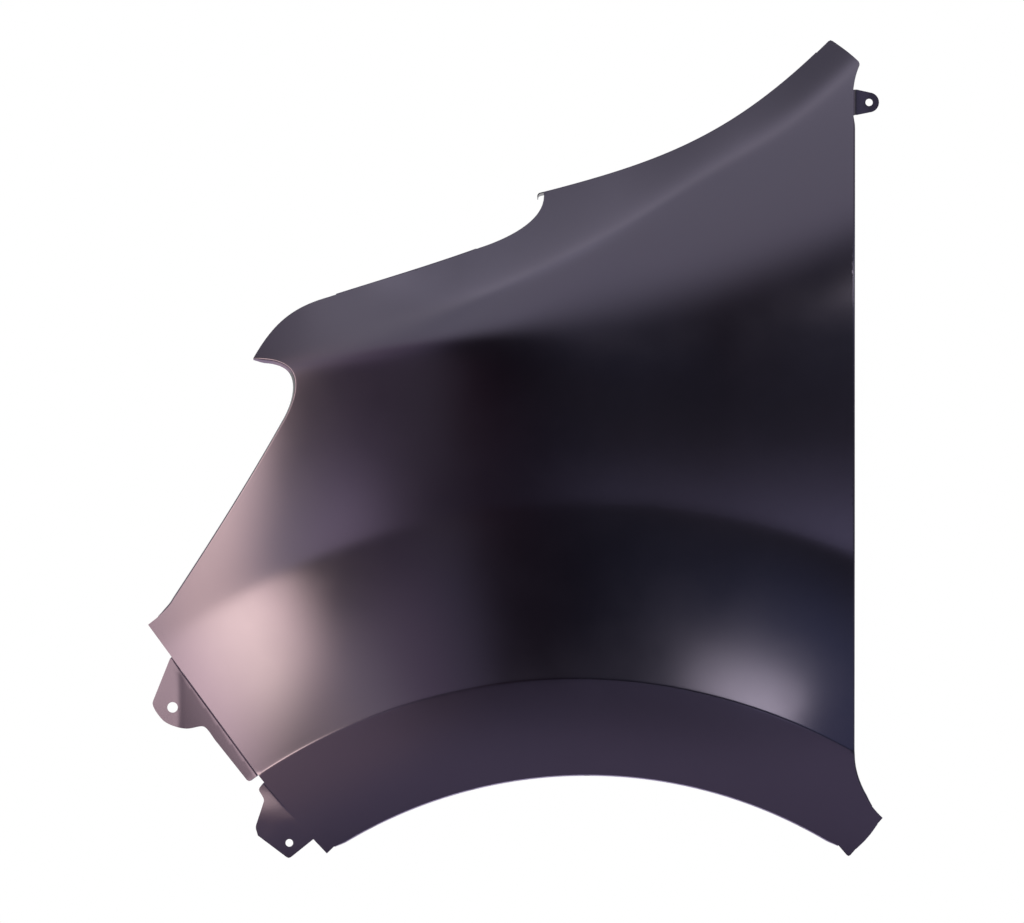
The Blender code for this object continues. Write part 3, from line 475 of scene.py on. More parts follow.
# %% The flat pattern as one mesh with its scribed values
places = []
faces = []
steps = []
first_vertex = {}
for name, (flat, triangles) in pieces.items():
    first = len(places)
    first_vertex[name] = first
    places += flat
    faces += [[first + i for i in triangle] for triangle in triangles]
    lean = math.tan(STRIP_LEAN) if name == "upper" else 0.0
    steps += [0.0 if name == "skin" else STEP_DEPTH * step_share(z) + lean * past_bumper_line(x, z)
              for x, z in flat]

blank_mesh = bpy.data.meshes.new("blank")
blank_mesh.from_pydata([(x, 0.0, z) for x, z in places], [], faces)
scribed = {
    "above_shoulder": [z - line_height(SHOULDER_LINE, x) for x, z in places],
    "above_ridge": [z - line_height(RIDGE_LINE, x) for x, z in places],
    "step": steps,
}
for name, values in scribed.items():
    layer = blank_mesh.attributes.new(name, "FLOAT", "POINT")
    layer.data.foreach_set("value", values)
blank = bpy.data.objects.new("blank", blank_mesh)
bpy.context.scene.collection.objects.link(blank)
print("blank: %d points, %d triangles" % (len(places), len(faces)))

# %% [markdown]
# ## The press
# The form of the skin follows one rule, so a Geometry Nodes tree makes it: it moves each point of the
# blank by a depth worked out from its place. The depth is a sum of plain shapes: a crowned side, a turn
# towards the lamp, two soft folds that lean in below the windscreen, and a flare over the wheel that
# ends in a crease and a lip. The crease leans: it stands further from the wheel at the front than at the
# rear. Each size is an input of the tree, so a die change is one number.

# %% Sizes of the form
PRESS = {
    "Crown Height": 0.650,
    "Crown Radius": 1.650,
    "Turn Start": -0.055,
    "Turn Radius": 0.600,
    "Turn Soft": 0.195,
    "Rear Turn Start": -0.020,
    "Rear Turn Radius": 4.300,
    "Rear Turn Soft": 0.080,
    "Shoulder Slope": math.tan(math.radians(28.5)),
    "Shoulder Soft Front": 0.008,
    "Shoulder Soft Rear": 0.064,
    "Shoulder Soft Start": -0.15,
    "Shoulder Soft End": 0.12,
    "Ridge Slope": math.tan(math.radians(40.5)) - math.tan(math.radians(28.5)),
    "Ridge Soft": 0.010,
    "Ridge Fade Start": -0.250,
    "Ridge Fade End": -0.110,
    "Flare Radius": FLARE_RADIUS,
    "Crease Radius": CREASE_RADIUS,
    "Crease Soft": CREASE_SOFT,
    "Crease Lean": CREASE_LEAN,
    "Flare Onset Slope": 0.100,
    "Flare Onset Soft": 0.008,
    "Flare Slope Front": 0.415,
    "Flare Slope Crown": 0.370,
    "Flare Slope Rear": 0.430,
    "Flare Front Angle": ARCH_FRONT_ANGLE,
    "Flare Rear Angle": ARCH_REAR_ANGLE * 0.8,
    "Lip Slope": -0.050,
}


# %% Nodes from their settings and inputs
def feed(node, given):
    """Gives each named input of a node its plain value, or a link from a field."""
    for name, value in dict(given).items():
        if isinstance(value, Field):
            value.tree.links.new(value.socket, node.inputs[name])
        else:
            node.inputs[name].default_value = value


def add_node(tree, kind, given=(), output=0, **settings):
    """Adds a node with its settings and inputs, and gives one of its outputs as a field."""
    node = tree.nodes.new(kind)
    for name, value in settings.items():
        setattr(node, name, value)
    feed(node, given)
    return Field(tree, node.outputs[output]) if len(node.outputs) else node


class Field:
    """A value in a node tree that can be added, multiplied and so on like a number."""

    def __init__(self, tree, socket):
        self.tree = tree
        self.socket = socket

    def beside(self, name):
        """Another output of the same node."""
        return Field(self.tree, self.socket.node.outputs[name])

    def math(self, operation, *others):
        return add_node(self.tree, "ShaderNodeMath", enumerate((self,) + others), operation=operation)

    def __add__(self, other):
        return self.math("ADD", other)

    def __sub__(self, other):
        return self.math("SUBTRACT", other)

    def __mul__(self, other):
        return self.math("MULTIPLY", other)

    def __truediv__(self, other):
        return self.math("DIVIDE", other)

    def ease(self, low, high, start, end):
        """From start to end as this value goes from low to high, with soft ends."""
        return add_node(self.tree, "ShaderNodeMapRange", enumerate((self, low, high, start, end)), "Result",
                        interpolation_type="SMOOTHSTEP")


def soft_fold(distance, softness):
    """A ramp of slope 1 past a fold line, rounded over its softness."""
    return (distance + (distance * distance + softness * softness).math("SQRT")) * 0.5


# %% The tree
def press_tree():
    """Builds the tree that lifts the flat pattern to its pressed form."""
    tree = bpy.data.node_groups.new("press", "GeometryNodeTree")
    tree.interface.new_socket("Geometry", in_out="INPUT", socket_type="NodeSocketGeometry")
    for name, value in PRESS.items():
        tree.interface.new_socket(name, in_out="INPUT", socket_type="NodeSocketFloat").default_value = value
    tree.interface.new_socket("Material", in_out="INPUT", socket_type="NodeSocketMaterial")
    tree.interface.new_socket("Geometry", in_out="OUTPUT", socket_type="NodeSocketGeometry")
    given = add_node(tree, "NodeGroupInput", output="Geometry")
    size = {name: given.beside(name) for name in PRESS}

    def scribed_value(name):
        return add_node(tree, "GeometryNodeInputNamedAttribute", {"Name": name}, "Attribute",
                        data_type="FLOAT")

    position = add_node(tree, "GeometryNodeInputPosition", output="Position")
    x = add_node(tree, "ShaderNodeSeparateXYZ", {"Vector": position}, "X")
    z = x.beside("Z")

    up = z - size["Crown Height"]
    crown = up * up / (size["Crown Radius"] * 2.0)
    run = soft_fold(size["Turn Start"] - x, size["Turn Soft"])
    radius = size["Turn Radius"]
    turn = radius - (radius * radius - run * run).math("MAXIMUM", 1e-6).math("SQRT")
    rear = soft_fold(x - size["Rear Turn Start"], size["Rear Turn Soft"])
    rear_turn = rear * rear / (size["Rear Turn Radius"] * 2.0)

    softness = x.ease(*[size["Shoulder Soft " + end] for end in ("Start", "End", "Front", "Rear")])
    shoulder = size["Shoulder Slope"] * soft_fold(scribed_value("above_shoulder"), softness)
    fade = x.ease(size["Ridge Fade Start"], size["Ridge Fade End"], 0.0, 1.0)
    ridge = size["Ridge Slope"] * fade * soft_fold(scribed_value("above_ridge"), size["Ridge Soft"])

    reach = (x * x + z * z).math("SQRT")
    angle = x.math("ARCTAN2", z)
    slope = angle.ease(size["Flare Front Angle"], 0.0, size["Flare Slope Front"], size["Flare Slope Crown"])
    slope = angle.ease(0.0, size["Flare Rear Angle"], slope, size["Flare Slope Rear"])
    width = size["Flare Radius"] - size["Crease Radius"]
    rise = soft_fold(size["Flare Radius"] - reach, size["Flare Onset Soft"])
    onset = size["Flare Onset Slope"]
    flare = onset * rise + (slope - onset) * rise * rise / (width * 2.0)
    crease = size["Crease Radius"] - size["Crease Lean"] * x / reach
    last_slope = onset + (slope - onset) * (size["Flare Radius"] - crease) / width
    inside = soft_fold(crease - reach, size["Crease Soft"])
    past = inside * inside * (slope - onset) / (width * 2.0)
    lip = (last_slope + size["Lip Slope"]) * inside + past
    depth = crown + turn + rear_turn + shoulder + ridge - flare + lip + scribed_value("step")

    place = add_node(tree, "ShaderNodeCombineXYZ", {"X": x, "Y": depth, "Z": z})
    lifted = add_node(tree, "GeometryNodeSetPosition", {"Geometry": given, "Position": place})
    whole = add_node(tree, "GeometryNodeRealizeInstances", {"Geometry": lifted})
    finish = given.beside("Material")
    dressed = add_node(tree, "GeometryNodeSetMaterial", {"Geometry": whole, "Material": finish})
    add_node(tree, "NodeGroupOutput", {"Geometry": dressed})
    return tree


# %% Press the blank
def pressed(thing, tree):
    """Runs the press on an object and gives the result as a plain mesh."""
    modifier = thing.modifiers.new("press", "NODES")
    modifier.node_group = tree
    for item in tree.interface.items_tree:
        if item.in_out == "INPUT" and item.name in PRESS:
            modifier[item.identifier] = PRESS[item.name]
    graph = bpy.context.evaluated_depsgraph_get()
    mesh = bpy.data.meshes.new_from_object(thing.evaluated_get(graph))
    thing.modifiers.clear()
    return mesh


skin_mesh = pressed(blank, press_tree())
depths = [v.co.y for v in skin_mesh.vertices]
print("pressed: %d points, depth %.1f to %.1f mm" % (len(depths), min(depths) * 1000, max(depths) * 1000))

# %% [markdown]
# ## Turning the flanges
# Every edge of a pressing is stiffened: the metal turns inboard over a 1.5 mm radius and runs on as a
# flange, a ledge or an ear. A Solidify or Bevel modifier can't do that, because each flange has its own
# direction, so each one is lofted: a short path leaves every point of an edge, and neighbouring paths
# are joined. A path starts in the plane of the skin, so the bend is tangent to it.

# %% Paths round a bend
BEND_STEPS = 5


def edge_frames(row):
    """For each vertex of a row: outward in the drawing plane, and outward in the skin."""
    frames = []
    for i, vert in enumerate(row):
        a = row[max(i - 1, 0)].co
        b = row[min(i + 1, len(row) - 1)].co
        flat = Vector((-(b.z - a.z), 0.0, b.x - a.x)).normalized()
        across = (b - a).normalized().cross(vert.normal)
        if across.dot(flat) < 0.0:
            across = -across
        frames.append((flat, across.normalized()))
    return frames


def bend(point, start, end, radius, steps=BEND_STEPS):
    """Walk round a bend from one direction to another; gives the points after its first."""
    angle = start.angle(end)
    if angle < 1e-4:
        return [point.copy() for _ in range(steps)]
    axis = start.cross(end).normalized()
    side = axis.cross(start)
    place = point.copy()
    path = []
    for k in range(steps):
        middle = angle * (k + 0.5) / steps
        chord = 2.0 * radius * math.sin(angle / steps / 2.0)
        place = place + (start * math.cos(middle) + side * math.sin(middle)) * chord
        path.append(place.copy())
    return path


def run_on(path, direction, distance, parts):
    """Carries a path straight on, in a few parts."""
    start = path[-1]
    path += [start + direction * distance * (k + 1) / parts for k in range(parts)]


def loft(sheet, row, paths):
    """Join a row of vertices to equal paths that leave them; gives all rows of vertices."""
    rows = [row] + [[sheet.verts.new(point) for point in level] for level in zip(*paths)]
    for lower, upper in zip(rows, rows[1:]):
        for a, b, c, d in zip(lower, lower[1:], upper[1:], upper):
            sheet.faces.new((a, b, c, d))
    return rows


# %% The sheet as an editable mesh, and its named edges
sheet = bmesh.new()
sheet.from_mesh(skin_mesh)
sheet.normal_update()
sheet.verts.ensure_lookup_table()


def chain(*names):
    """The vertices along one stretch of the skin's edge, or several that follow each other."""
    sheet.verts.ensure_lookup_table()
    order = list(edge)
    row = []
    for name in names:
        start = sum(len(edge[before]) - 1 for before in order[:order.index(name)])
        row = row[:-1] + [sheet.verts[(start + i) % len(skin_rim)] for i in range(len(edge[name]))]
    return row


def along(row):
    """Distance along a row of vertices at each of them."""
    lengths = [0.0]
    for a, b in zip(row, row[1:]):
        lengths.append(lengths[-1] + (b.co - a.co).length)
    return lengths


def setback(row, start, end):
    """The part of a row that begins and ends at least so far from its ends."""
    lengths = along(row)
    return [v for v, s in zip(row, lengths) if start <= s <= lengths[-1] - end]


if chain("door")[0].normal.y > 0.0:
    bmesh.ops.reverse_faces(sheet, faces=sheet.faces)
    sheet.normal_update()
print("outward normal at the door edge:", [round(c, 2) for c in chain("door")[40].normal])

# %% Plain flanges: arch, door, sill and lamp
ARCH_FLANGE = 0.018
ARCH_DRAFT = math.radians(3.0)
DOOR_FLANGE = 0.024
SILL_FLANGE = 0.018
LAMP_FLANGE = 0.012
LAMP_DRAFT = math.radians(2.0)
BEAK_DRAFT = math.radians(14.0)
END_CHAMFER = 0.010
END_SHARPNESS = 0.2
FLANGE_PARTS = 4
DOOR_SETBACK = (0.0, 0.012)
SILL_SETBACK = (0.007, 0.005)
LAMP_SETBACK = (0.012, 0.0)


def flange(row, width, drafts):
    """Turn a flange inboard along a chain; its draft leans it outward in the drawing plane."""
    lengths = along(row)
    paths = []
    for vert, (flat, across), s, draft in zip(row, edge_frames(row), lengths, drafts):
        taper = min(1.0, min(s, lengths[-1] - s) / END_CHAMFER)
        radius = BEND_RADIUS * (END_SHARPNESS + (1.0 - END_SHARPNESS) * taper)
        direction = INBOARD * math.cos(draft) + flat * math.sin(draft)
        path = bend(vert.co, across, direction, radius)
        run_on(path, direction, width * (0.5 + 0.5 * taper) - radius, FLANGE_PARTS)
        paths.append(path)
    return loft(sheet, row, paths)


arch = chain("arch")
flange(arch, ARCH_FLANGE, [ARCH_DRAFT] * len(arch))
door = setback(chain("door", "door_foot"), *DOOR_SETBACK)
flange(door, DOOR_FLANGE, [0.0] * len(door))
sill = setback(chain("sill"), *SILL_SETBACK)
flange(sill, SILL_FLANGE, [0.0] * len(sill))
lamp = setback(chain("lamp_foot", "lamp", "lamp_notch"), *LAMP_SETBACK)
beak_share = [smooth(v.co.z, LAMP_TOP[1], BEAK[1]) for v in lamp]
flange(lamp, LAMP_FLANGE, [LAMP_DRAFT + (BEAK_DRAFT - LAMP_DRAFT) * share for share in beak_share])
print("plain flanges turned, widths %.0f to %.0f mm" % (LAMP_FLANGE * 1000, DOOR_FLANGE * 1000))

# %% [markdown]
# The windscreen edge turns into a ledge that carries a rubber seal, and its front end curls over as a
# small hook, which shows above the bonnet cut-out. The bonnet edge drops as a wall and then turns
# inboard into a rail, whose slots take the bolts.

# %% Ledge with its hook
LEDGE_WIDTH = 0.022
LEDGE_DROP = math.radians(6.0)
HOOK_REACH = 0.0062
HOOK_DROP = 0.0038
HOOK_FORWARD = Vector((-1.0, 0.0, -0.25)).normalized()
HOOK_RADIUS = 2.0 * BEND_RADIUS
LEDGE_SETBACK = (0.0, 0.014)
DOWN = Vector((0.0, 0.0, -1.0))


def ledge_with_hook(row):
    """Ledge inboard from a chain, and the hook at the chain's first end."""
    direction = Vector((0.0, math.cos(LEDGE_DROP), -math.sin(LEDGE_DROP)))
    paths = []
    for vert, (_, across) in zip(row, edge_frames(row)):
        path = bend(vert.co, across, direction, BEND_RADIUS)
        run_on(path, direction, LEDGE_WIDTH, 6)
        paths.append(path)
    rows = loft(sheet, row, paths)
    end = [level[0] for level in rows[BEND_STEPS:]]
    hook = []
    for vert in end:
        path = [vert.co + HOOK_FORWARD * (HOOK_REACH - HOOK_RADIUS)]
        path += bend(path[0], HOOK_FORWARD, DOWN, HOOK_RADIUS, 6)
        run_on(path, DOWN, HOOK_DROP - HOOK_RADIUS, 1)
        hook.append(path)
    loft(sheet, end, hook)


ledge_with_hook(setback(chain("windscreen"), *LEDGE_SETBACK))

# %% Rail under the bonnet edge
RAIL_WALL = 0.016
RAIL_WALL_LEAN = 0.25
RAIL_WIDTH = 0.022
RAIL_SETBACK = (0.004, 0.002)
RAIL_SLOPE = (BONNET_REAR[1] - BONNET_FRONT[1]) / (BONNET_REAR[0] - BONNET_FRONT[0])


def rail_height(x):
    """Height of the rail's plane at x: parallel to the bonnet edge, a wall lower."""
    return BONNET_FRONT[1] - RAIL_WALL + (x - BONNET_FRONT[0]) * RAIL_SLOPE


def bonnet_rail(row):
    """Wall down from the bonnet edge, then a level ledge inboard."""
    down = Vector((RAIL_SLOPE, RAIL_WALL_LEAN, -1.0)).normalized()
    angle = down.angle(INBOARD)
    paths = []
    for vert, (_, across) in zip(row, edge_frames(row)):
        path = bend(vert.co, across, down, BEND_RADIUS)
        drop = path[-1].z - rail_height(path[-1].x)
        wall = (drop - BEND_RADIUS * (1.0 - math.cos(angle))) / (-down.z + down.x * RAIL_SLOPE)
        run_on(path, down, wall, 4)
        path += bend(path[-1], down, INBOARD, BEND_RADIUS)
        path[-1].z = rail_height(path[-1].x)
        run_on(path, INBOARD, RAIL_WIDTH, 5)
        paths.append(path)
    loft(sheet, row, paths)


bonnet_rail(setback(chain("bonnet"), *RAIL_SETBACK))
print("ledge %.0f mm, rail %.0f mm wide" % (LEDGE_WIDTH * 1000, RAIL_WIDTH * 1000))

# %% [markdown]
# The ear at the top of the door edge bolts the fender to the hinge pillar. A wall leads 16 mm inboard,
# and a flat tongue with a round end reaches rearward from it. Its inboard face is the part's origin, so
# once it is made the whole sheet moves from the drawing's zero to the part's own.

# %% Ear on the hinge pillar
EAR_DEPTH = 0.016
EAR_HOLE = 0.0063
EAR_HOLE_REACH = 0.0137
EAR_END_RADIUS = 0.0086
EAR_MIDDLE = (EAR_TOP + EAR_BOTTOM) / 2.0
EAR_END_TURN = 80.0
EAR_END_PARTS = 24
ORIGIN_REACH = 0.0065


def ear(row):
    """Wall in from the door edge, then the ear; gives the depth of its outer face."""
    deepest = max(v.co.y for v in row) + EAR_DEPTH
    paths = []
    for vert, (_, across) in zip(row, edge_frames(row)):
        path = bend(vert.co, across, INBOARD, BEND_RADIUS)
        run_on(path, INBOARD, deepest - BEND_RADIUS - path[-1].y, 3)
        path += bend(path[-1], INBOARD, REARWARD, BEND_RADIUS)
        path[-1].y = deepest
        paths.append(path)
    root = loft(sheet, row, paths)[-1]
    turns = [math.radians(EAR_END_TURN * (1.0 - 2.0 * i / EAR_END_PARTS)) for i in range(EAR_END_PARTS + 1)]
    centre = Vector((DOOR_X + EAR_HOLE_REACH, deepest, EAR_MIDDLE))
    rounded = [sheet.verts.new(centre + Vector((math.cos(a), 0.0, math.sin(a))) * EAR_END_RADIUS)
               for a in turns]
    sheet.faces.new(list(reversed(root)) + rounded)
    return deepest


ear_depth = ear(chain("ear_root"))
part_origin = Vector((DOOR_X + ORIGIN_REACH, ear_depth + SHEET, EAR_MIDDLE))
print("part origin in the drawing:", [round(c, 5) for c in part_origin])

# %% [markdown]
# ## The step to the bumper tabs
# The two tabs were pressed with the skin, a step deeper. The step itself is lofted from the skin's edge
# to the root of each tab in a soft S, the shape that sheet metal takes in a joggle. Then the tabs are
# set flat where a bolt clamps them: the upper one in front of an upright bend, the lower one round its
# hole. A plane through the neighbouring points says where, so no size is written twice.

# %% Loft the step
STEP_PARTS = 8
STEP_SPAN = (0.12, 0.88)
SAME_PLACE = 0.000001
MERGE_REACH = 0.00003
LEAST_EDGE = 0.00001


def joggle(edge_row, root_row):
    """An S-shaped wall from the skin's edge to the root of a tab."""
    between = []
    for a, b in zip(edge_row, root_row):
        inward = -a.normal
        drop = (b.co - a.co).dot(inward)
        out = b.co - a.co - inward * drop
        path = []
        for k in range(1, STEP_PARTS):
            share = k / STEP_PARTS
            path.append(a.co + out * share + inward * drop * smooth(share, *STEP_SPAN))
        between.append(path)
    rows = loft(sheet, edge_row, between)
    last = rows[-1]
    for a, b, c, d in zip(last, last[1:], root_row[1:], root_row):
        if (a.co - d.co).length > SAME_PLACE:
            sheet.faces.new((a, b, c, d))


sheet.verts.ensure_lookup_table()
upper_first = first_vertex["upper"]
lower_first = first_vertex["lower"] + len(edge["tab_root"]) - 1
upper_row = [sheet.verts[upper_first + i] for i in range(len(upper_root))]
lower_row = [sheet.verts[lower_first + i] for i in range(len(edge["lower_step"]))]
joggle(chain("bumper"), upper_row)
joggle(chain("lower_step"), lower_row)
bmesh.ops.remove_doubles(sheet, verts=sheet.verts, dist=MERGE_REACH)
bmesh.ops.dissolve_degenerate(sheet, edges=sheet.edges, dist=LEAST_EDGE)
print("sheet: %d faces" % len(sheet.faces))

# %% Set the tabs flat
BEND_PATCH = 0.006


def past_bumper(vert):
    """True on the tabs: outside the line of the bumper edge."""
    return past_bumper_line(vert.co.x, vert.co.z) > STEP_RUN


def near(place, reach):
    """Vertices of the tabs round a place of the drawing."""
    x, z = place
    return [v for v in sheet.verts if math.hypot(v.co.x - x, v.co.z - z) < reach and past_bumper(v)]


def plane_of(verts):
    """Middle and outward normal of a patch of the sheet."""
    middle = sum((v.co for v in verts), Vector()) / len(verts)
    normal = sum((v.normal for v in verts), Vector()).normalized()
    return middle, normal


def depth_on(plane, vert):
    """Y of a plane at a vertex's place in the drawing."""
    middle, normal = plane
    return middle.y - (normal.x * (vert.co.x - middle.x) + normal.z * (vert.co.z - middle.z)) / normal.y


sheet.normal_update()
bend_x = UPPER_HOLE[0] + UPPER_BEND
middle, normal = plane_of(near((bend_x, UPPER_HOLE[1]), BEND_PATCH))
turned = Vector((normal.x + UPPER_TURN * normal.y, normal.y, normal.z)).normalized()
front_plane = (middle, turned)
for vert in [v for v in sheet.verts if past_bumper(v) and v.co.x < bend_x + UPPER_BEND_SOFT]:
    share = smooth(bend_x - vert.co.x, -UPPER_BEND_SOFT, UPPER_BEND_SOFT)
    vert.co.y += (depth_on(front_plane, vert) - vert.co.y) * share
pad = plane_of(near(LOWER_HOLE, LOWER_PAD))
for vert in near(LOWER_HOLE, LOWER_PAD_BLEND):
    away = math.hypot(vert.co.x - LOWER_HOLE[0], vert.co.z - LOWER_HOLE[1])
    vert.co.y += (depth_on(pad, vert) - vert.co.y) * (1.0 - smooth(away, LOWER_PAD, LOWER_PAD_BLEND))
print("tabs set flat")

# %% [markdown]
# ## Thickness and holes
# The sheet now gets its 0.8 mm, on the inboard side, so that the outer face stays where it was pressed.
# The piercing die comes last. All its punches are one mesh, so one Boolean cuts every hole: the bolt
# holes of the tabs and the ear, the slots of the door flange and the rail, and the clip holes that hold
# the wheel-arch liner.

# %% Thickness
bmesh.ops.translate(sheet, verts=sheet.verts, vec=-part_origin)
bmesh.ops.recalc_face_normals(sheet, faces=sheet.faces)
if sum(face.normal.y * face.calc_area() for face in sheet.faces) > 0.0:
    bmesh.ops.reverse_faces(sheet, faces=sheet.faces)
pressing = bpy.data.meshes.new("fender_skin")
sheet.to_mesh(pressing)
sheet.free()
fender = bpy.data.objects.new("fender_skin", pressing)
bpy.context.scene.collection.objects.link(fender)
bpy.data.objects.remove(blank)

wall = fender.modifiers.new("sheet_thickness", "SOLIDIFY")
wall.thickness = SHEET
wall.offset = -1.0
wall.use_even_offset = True
wall.use_quality_normals = True
wall.material_offset = 1

# %% Punches
LINER_HOLE = 0.0055
LINER_HOLE_ANGLES = [math.radians(a) for a in (-27.0, -14.0, 0.0, 14.0, 27.0)]
LINER_HOLE_SHARE = 0.6
DOOR_SLOT = (0.0070, 0.0120)
DOOR_SLOT_HEIGHTS = [0.500, 0.720]
DOOR_SLOT_SHARE = 0.58
SILL_HOLE = 0.0070
SILL_HOLE_SHARE = 0.6
RAIL_SLOT = (0.0070, 0.0130)
RAIL_SLOT_PLACES = [0.27, 0.75]
RAIL_SLOT_SHARE = 0.62
PUNCH_LENGTH = 0.020
PUNCH_SIDES = 32

pattern_points = np.array([(v.co.x, v.co.z) for v in skin_mesh.vertices])


def skin_depth(x, z):
    """Depth of the pressed skin at a place of the drawing."""
    nearest = int(((pattern_points - (x, z)) ** 2).sum(axis=1).argmin())
    return skin_mesh.vertices[nearest].co.y


def punch(tool, place, axis, width, length=None):
    """Adds a round punch, or a slotted one whose length runs upright or rearward."""
    stretch = ((length or width) - width) / 2.0
    across = Vector((0.0, 0.0, 1.0)) if abs(axis.z) < 0.9 else REARWARD
    long_way = (across - axis * across.dot(axis)).normalized()
    short_way = axis.cross(long_way)
    middle = Vector(place) - part_origin
    ends = []
    for end in (-0.5, 0.5):
        ring = []
        for k in range(PUNCH_SIDES):
            turn = 2.0 * math.pi * (k + 0.5) / PUNCH_SIDES
            reach = width / 2.0 * math.cos(turn) + math.copysign(stretch, math.cos(turn))
            side = width / 2.0 * math.sin(turn)
            corner = middle + axis * PUNCH_LENGTH * end + long_way * reach + short_way * side
            ring.append(tool.verts.new(corner))
        ends.append(ring)
    low, high = ends
    tool.faces.new(low)
    tool.faces.new(list(reversed(high)))
    for a, b, c, d in zip(low, low[1:] + low[:1], high[1:] + high[:1], high):
        tool.faces.new((a, d, c, b))


die = bmesh.new()
for angle in LINER_HOLE_ANGLES:
    radial = Vector((math.sin(angle), 0.0, math.cos(angle)))
    place = radial * ARCH_RADIUS
    place.y = skin_depth(place.x, place.z) + ARCH_FLANGE * LINER_HOLE_SHARE
    punch(die, place, radial, LINER_HOLE)
for height in DOOR_SLOT_HEIGHTS:
    depth = skin_depth(DOOR_X, height) + DOOR_FLANGE * DOOR_SLOT_SHARE
    punch(die, (DOOR_X, depth, height), REARWARD, *DOOR_SLOT)
sill_middle = (Vector(SILL_CORNER) + Vector(ARCH_REAR_CORNER)) / 2.0
sill_run = (Vector(SILL_CORNER) - Vector(ARCH_REAR_CORNER)).normalized()
sill_depth = skin_depth(*sill_middle) + SILL_FLANGE * SILL_HOLE_SHARE
punch(die, (sill_middle.x, sill_depth, sill_middle.y), Vector((sill_run.y, 0.0, -sill_run.x)), SILL_HOLE)
for share in RAIL_SLOT_PLACES:
    x = BONNET_FRONT[0] + (BONNET_REAR[0] - BONNET_FRONT[0]) * share
    inward = RAIL_WALL * RAIL_WALL_LEAN + RAIL_WIDTH * RAIL_SLOT_SHARE
    depth = skin_depth(x, rail_height(x) + RAIL_WALL) + inward
    punch(die, (x, depth, rail_height(x)), Vector((-RAIL_SLOPE, 0.0, 1.0)).normalized(), *RAIL_SLOT)
punch(die, (DOOR_X + EAR_HOLE_REACH, ear_depth, EAR_MIDDLE), INBOARD, EAR_HOLE)
punch(die, (UPPER_HOLE[0], middle.y, UPPER_HOLE[1]), INBOARD, UPPER_HOLE_SIZE)
punch(die, (LOWER_HOLE[0], pad[0].y, LOWER_HOLE[1]), INBOARD, LOWER_HOLE_SIZE)
bmesh.ops.recalc_face_normals(die, faces=die.faces)
die_mesh = bpy.data.meshes.new("punches")
die.to_mesh(die_mesh)
die.free()
punches = bpy.data.objects.new("punches", die_mesh)
bpy.context.scene.collection.objects.link(punches)

# %% Pierce, and keep the result as a plain mesh
SHARP_ANGLE = math.radians(35.0)

pierce = fender.modifiers.new("pierced_holes", "BOOLEAN")
pierce.operation = "DIFFERENCE"
pierce.solver = "EXACT"
pierce.object = punches
graph = bpy.context.evaluated_depsgraph_get()
finished = bpy.data.meshes.new_from_object(fender.evaluated_get(graph))
fender.modifiers.clear()
fender.data = finished
bpy.data.objects.remove(punches)
finished.shade_smooth()
finished.set_sharp_from_angle(angle=SHARP_ANGLE)
print("fender: %d faces" % len(finished.polygons))

# %% [markdown]
# ## Satin black primer
# The real finish is an electro-dipped primer: a thin black film with a soft sheen. It is smooth, but
# not like glass: the film pulls into faint dimples, its tone drifts a little over the panel, and a few
# dust nibs are caught in it. Three small node groups make those effects, and both faces of the sheet
# use them, the inner face stronger, because nobody levels the film there.

# %% Helpers for groups and colours
def shader_group(name, inputs, output, kind):
    """An empty shader node group with one output; gives the group and its inputs as fields."""
    group = bpy.data.node_groups.new(name, "ShaderNodeTree")
    for label, value in inputs.items():
        group.interface.new_socket(label, in_out="INPUT", socket_type="NodeSocketFloat").default_value = value
    group.interface.new_socket(output, in_out="OUTPUT", socket_type=kind)
    given = add_node(group, "NodeGroupInput")
    return group, [given.beside(label) for label in inputs]


def object_noise(tree, scale, detail, roughness=0.5):
    """Noise in object coordinates."""
    place = add_node(tree, "ShaderNodeTexCoord", output="Object")
    sizes = {"Vector": place, "Scale": scale, "Detail": detail, "Roughness": roughness}
    return add_node(tree, "ShaderNodeTexNoise", sizes, "Fac")


def mixed(share, low, high):
    """A colour between two others."""
    given = {"Factor": share, "A": low, "B": high}
    return add_node(share.tree, "ShaderNodeMix", given, "Result", data_type="RGBA")


def scaled(colour, share):
    """A colour made brighter or darker."""
    given = {"Vector": colour, "Scale": share}
    return add_node(colour.tree, "ShaderNodeVectorMath", given, "Vector", operation="SCALE")


# %% Film dimples, tone drift and dust nibs
FINE_DIMPLES = 2600.0
VIOLET_BLACK = (0.0016, 0.0014, 0.0024, 1.0)
BROWN_BLACK = (0.0026, 0.0016, 0.0020, 1.0)
DRIFT_SPAN = (0.32, 0.68)


def film_dimples():
    """Height of the faint dimples that a dipped film dries with."""
    group, (scale, fine_share) = shader_group("film_dimples", {"Scale": 380.0, "Fine Share": 0.35},
                                              "Height", "NodeSocketFloat")
    heights = {"A": object_noise(group, scale, 1.0), "B": object_noise(group, FINE_DIMPLES, 2.0)}
    height = add_node(group, "ShaderNodeMix", {"Factor": fine_share, **heights}, "Result")
    add_node(group, "NodeGroupOutput", {"Height": height})
    return group


def tone_drift():
    """Colour of the film, drifting between a violet and a brownish black."""
    group, (scale, lift) = shader_group("tone_drift", {"Scale": 5.0, "Lift": 1.0}, "Color", "NodeSocketColor")
    drift = object_noise(group, scale, 3.0, 0.55).ease(*DRIFT_SPAN, 0.0, 1.0)
    add_node(group, "NodeGroupOutput", {"Color": scaled(mixed(drift, VIOLET_BLACK, BROWN_BLACK), lift)})
    return group


